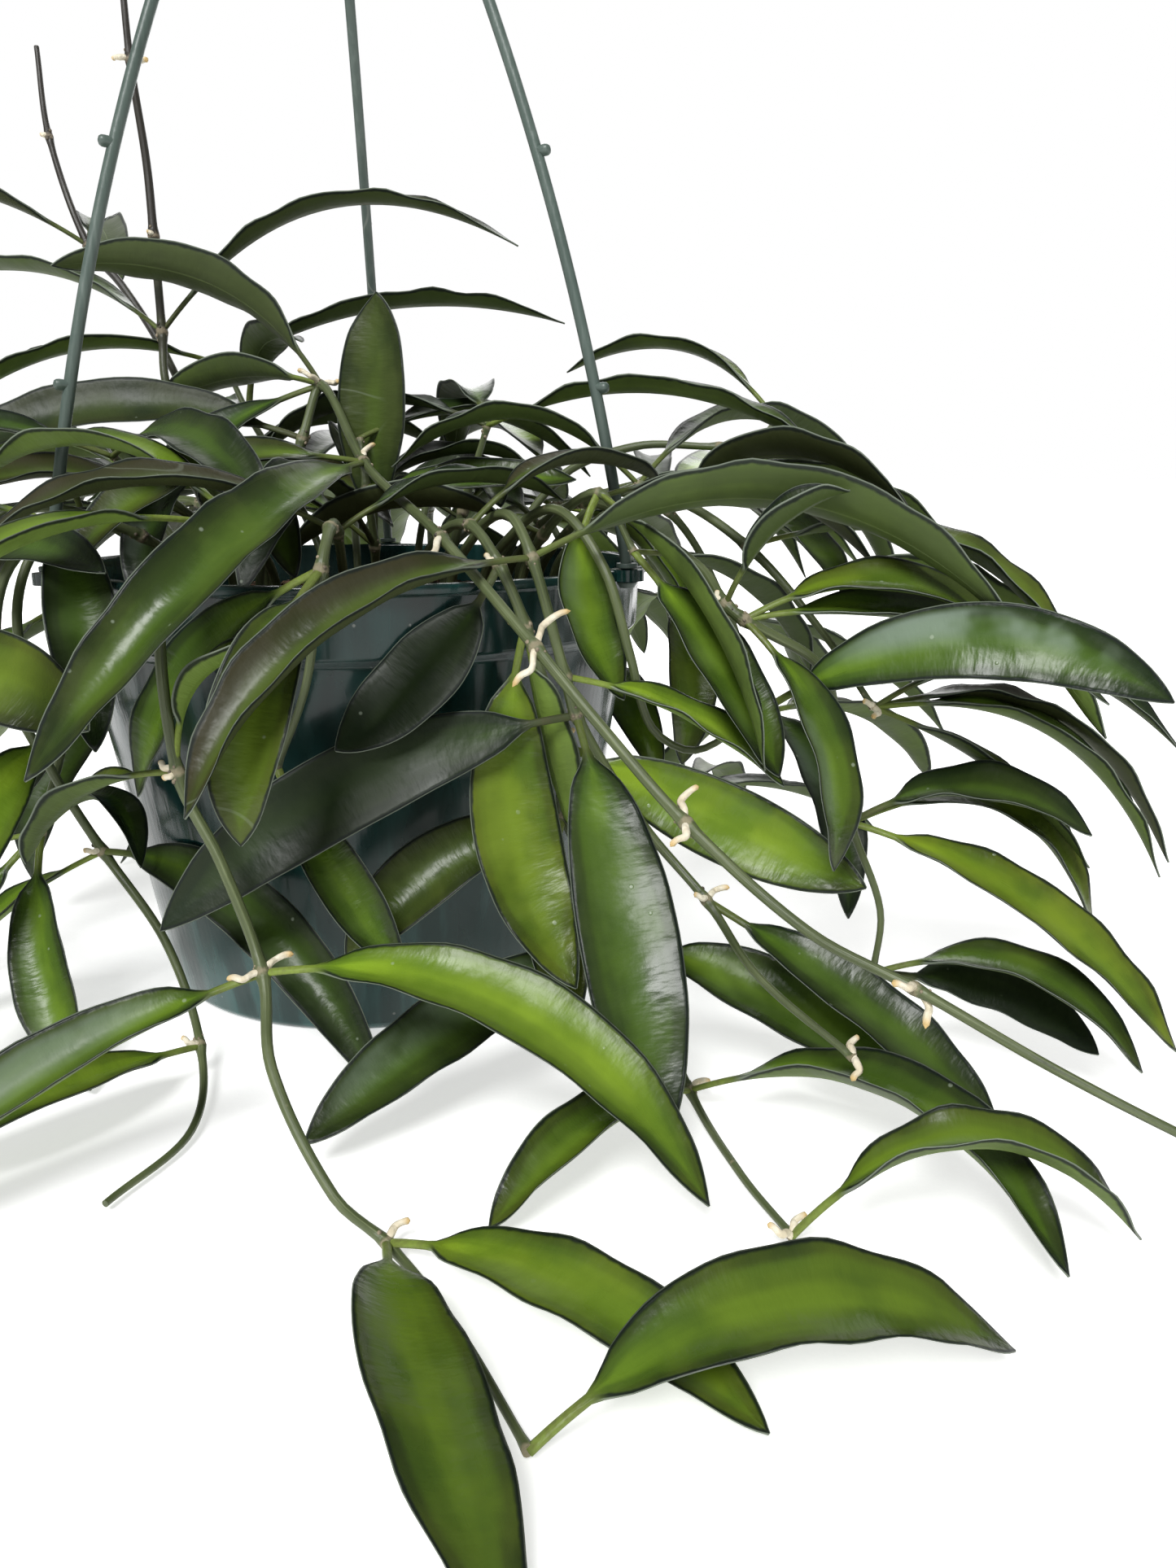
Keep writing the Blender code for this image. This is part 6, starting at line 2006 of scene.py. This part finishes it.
def crumb_finish(name, grain, first, second, pale, scale):
    """Damp growing mix or bark: crumbs of several browns with a few pale grains."""
    material, sheet, place = new_finish(name)
    height, patch, speck, _ = shared_marks(sheet, grain, place, grain=scale, **CRUMB_MARKS)
    crumbs = sheet.noise(place, scale * 0.6, 4.0)
    colour = sheet.mix(sheet.ease(crumbs, *CRUMB_SPAN), first, second)
    grains = sheet.math("MAXIMUM", speck, sheet.ease(patch, *PALE_GRAINS) * 0.3)
    colour = sheet.mix(grains, colour, pale)
    set_skin(sheet, colour, CRUMB_ROUGHNESS + crumbs * 0.25, crumbs + height * 0.4, CRUMB_RELIEF)
    return material


def ground_finish():
    """Smooth, pale ground with a faint tooth."""
    material, sheet, place = new_finish("pale ground")
    tooth = sheet.noise(place, GROUND_TOOTH, 2.0)
    colour = sheet.mix(tooth, GROUND, GROUND_LOW)
    roughness = GROUND_ROUGHNESS + tooth * 0.1
    set_skin(sheet, colour, roughness, tooth, GROUND_RELIEF, Emission_Strength=GROUND_GLOW)
    return material


def make_finishes():
    """Every finish of the object and its ground, by name."""
    grain = skin_grain_group()
    return {
        "leaf green": leaf_finish("leaf green", grain, 0.0),
        "leaf dark": leaf_finish("leaf dark", grain, DARK_SHADE),
        "stem": stem_finish(grain),
        "root": root_finish(grain),
        "callus": callus_finish(grain),
        "basket": basket_finish(grain),
        "hanger": hanger_finish(grain),
        "mix": crumb_finish("growing mix", grain, MIX_DARK, MIX_BROWN, MIX_PALE, MIX_GRAIN),
        "bark": crumb_finish("bark chips", grain, BARK_DARK, BARK_BROWN, BARK_PALE, BARK_GRAIN),
        "floor": ground_finish(),
    }


def make_stems(growth, cord, finishes):
    """One piece for each stem with its leaves, roots and lumps."""
    tree = leafy_stem_tree(cord)
    for number, (vine, leaves, roots) in enumerate(growth):
        kind = "leaf_dark" if number % DARK_LEAF_EVERY == 1 else "leaf_green"
        sizes = {
            "Seed": number + 1,
            "Leaf Finish": finishes[kind.replace("_", " ")],
            "Stem Finish": finishes["stem"],
            "Root Finish": finishes["root"],
            "Wart Finish": finishes["callus"],
        }
        mesh = grown_mesh(link("growth", growth_mesh(vine, leaves, roots)), tree, sizes)
        finish_piece(vine.name.replace("stem_", "vine_"), mesh, vine.name)


def in_radians(turns):
    """These turns round the three axes, which are in degrees, in radians."""
    return [math.radians(turn) for turn in turns]


def make_light(name, kind, power):
    """A light, and the object that holds it in the scene."""
    light = bpy.data.lights.new(name, kind)
    light.energy = power
    return light, link(name, light)


def make_stage(floor_finish):
    """The pale ground, the light and the camera."""
    floor = bpy.data.meshes.new("ground")
    corners = [(x * GROUND_SIZE, y * GROUND_SIZE, 0) for x, y in ((-1, -1), (1, -1), (1, 1), (-1, 1))]
    floor.from_pydata(corners, [], [(0, 1, 2, 3)])
    floor.materials.append(floor_finish)
    link("ground", floor)

    scene = bpy.context.scene
    world = bpy.data.worlds.new("bright room")
    world.use_nodes = True
    sheet = Sheet(world.node_tree)
    world.node_tree.nodes.clear()
    seen = sheet.made("ShaderNodeLightPath", name="Is Camera Ray")
    room = sheet.made("ShaderNodeBackground", {"Color": (1, 1, 1, 1), "Strength": ROOM_LIGHT})
    backdrop = sheet.made("ShaderNodeBackground", {"Color": (1, 1, 1, 1), "Strength": 1.0})
    both = sheet.made("ShaderNodeMixShader", {0: seen, 1: room, 2: backdrop})
    sheet.node("ShaderNodeOutputWorld", {"Surface": both})
    scene.world = world

    panel, seat = make_light("back panel", "AREA", PANEL_LIGHT)
    panel.size = PANEL_SIZE
    seat.location = PANEL_PLACE
    seat.rotation_euler = (Vector(PANEL_AIM) - Vector(PANEL_PLACE)).to_track_quat("-Z", "Y").to_euler()
    sun, seat = make_light("overhead", "SUN", SUN_LIGHT)
    sun.angle = math.radians(SUN_WIDTH)
    seat.rotation_euler = in_radians(SUN_TURN)

    camera = bpy.data.cameras.new("view")
    camera.sensor_fit = "VERTICAL"
    camera.sensor_width = SENSOR
    camera.sensor_height = SENSOR
    camera.lens = CAMERA_LENS
    camera.clip_start = NEAREST_SEEN
    seat = link("view", camera)
    seat.location = CAMERA_PLACE
    seat.rotation_euler = in_radians(CAMERA_TURN)
    scene.camera = seat
    scene.view_settings.view_transform = "Standard"


def main():
    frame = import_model()
    growth = find_growth(frame)
    finishes = make_finishes()
    cord = cord_tree()
    make_basket(finishes["basket"])
    make_hanger(cord, finishes["hanger"])
    make_soil(finishes["mix"], finishes["bark"])
    make_stems(growth, cord, finishes)
    make_stage(finishes["floor"])


main()
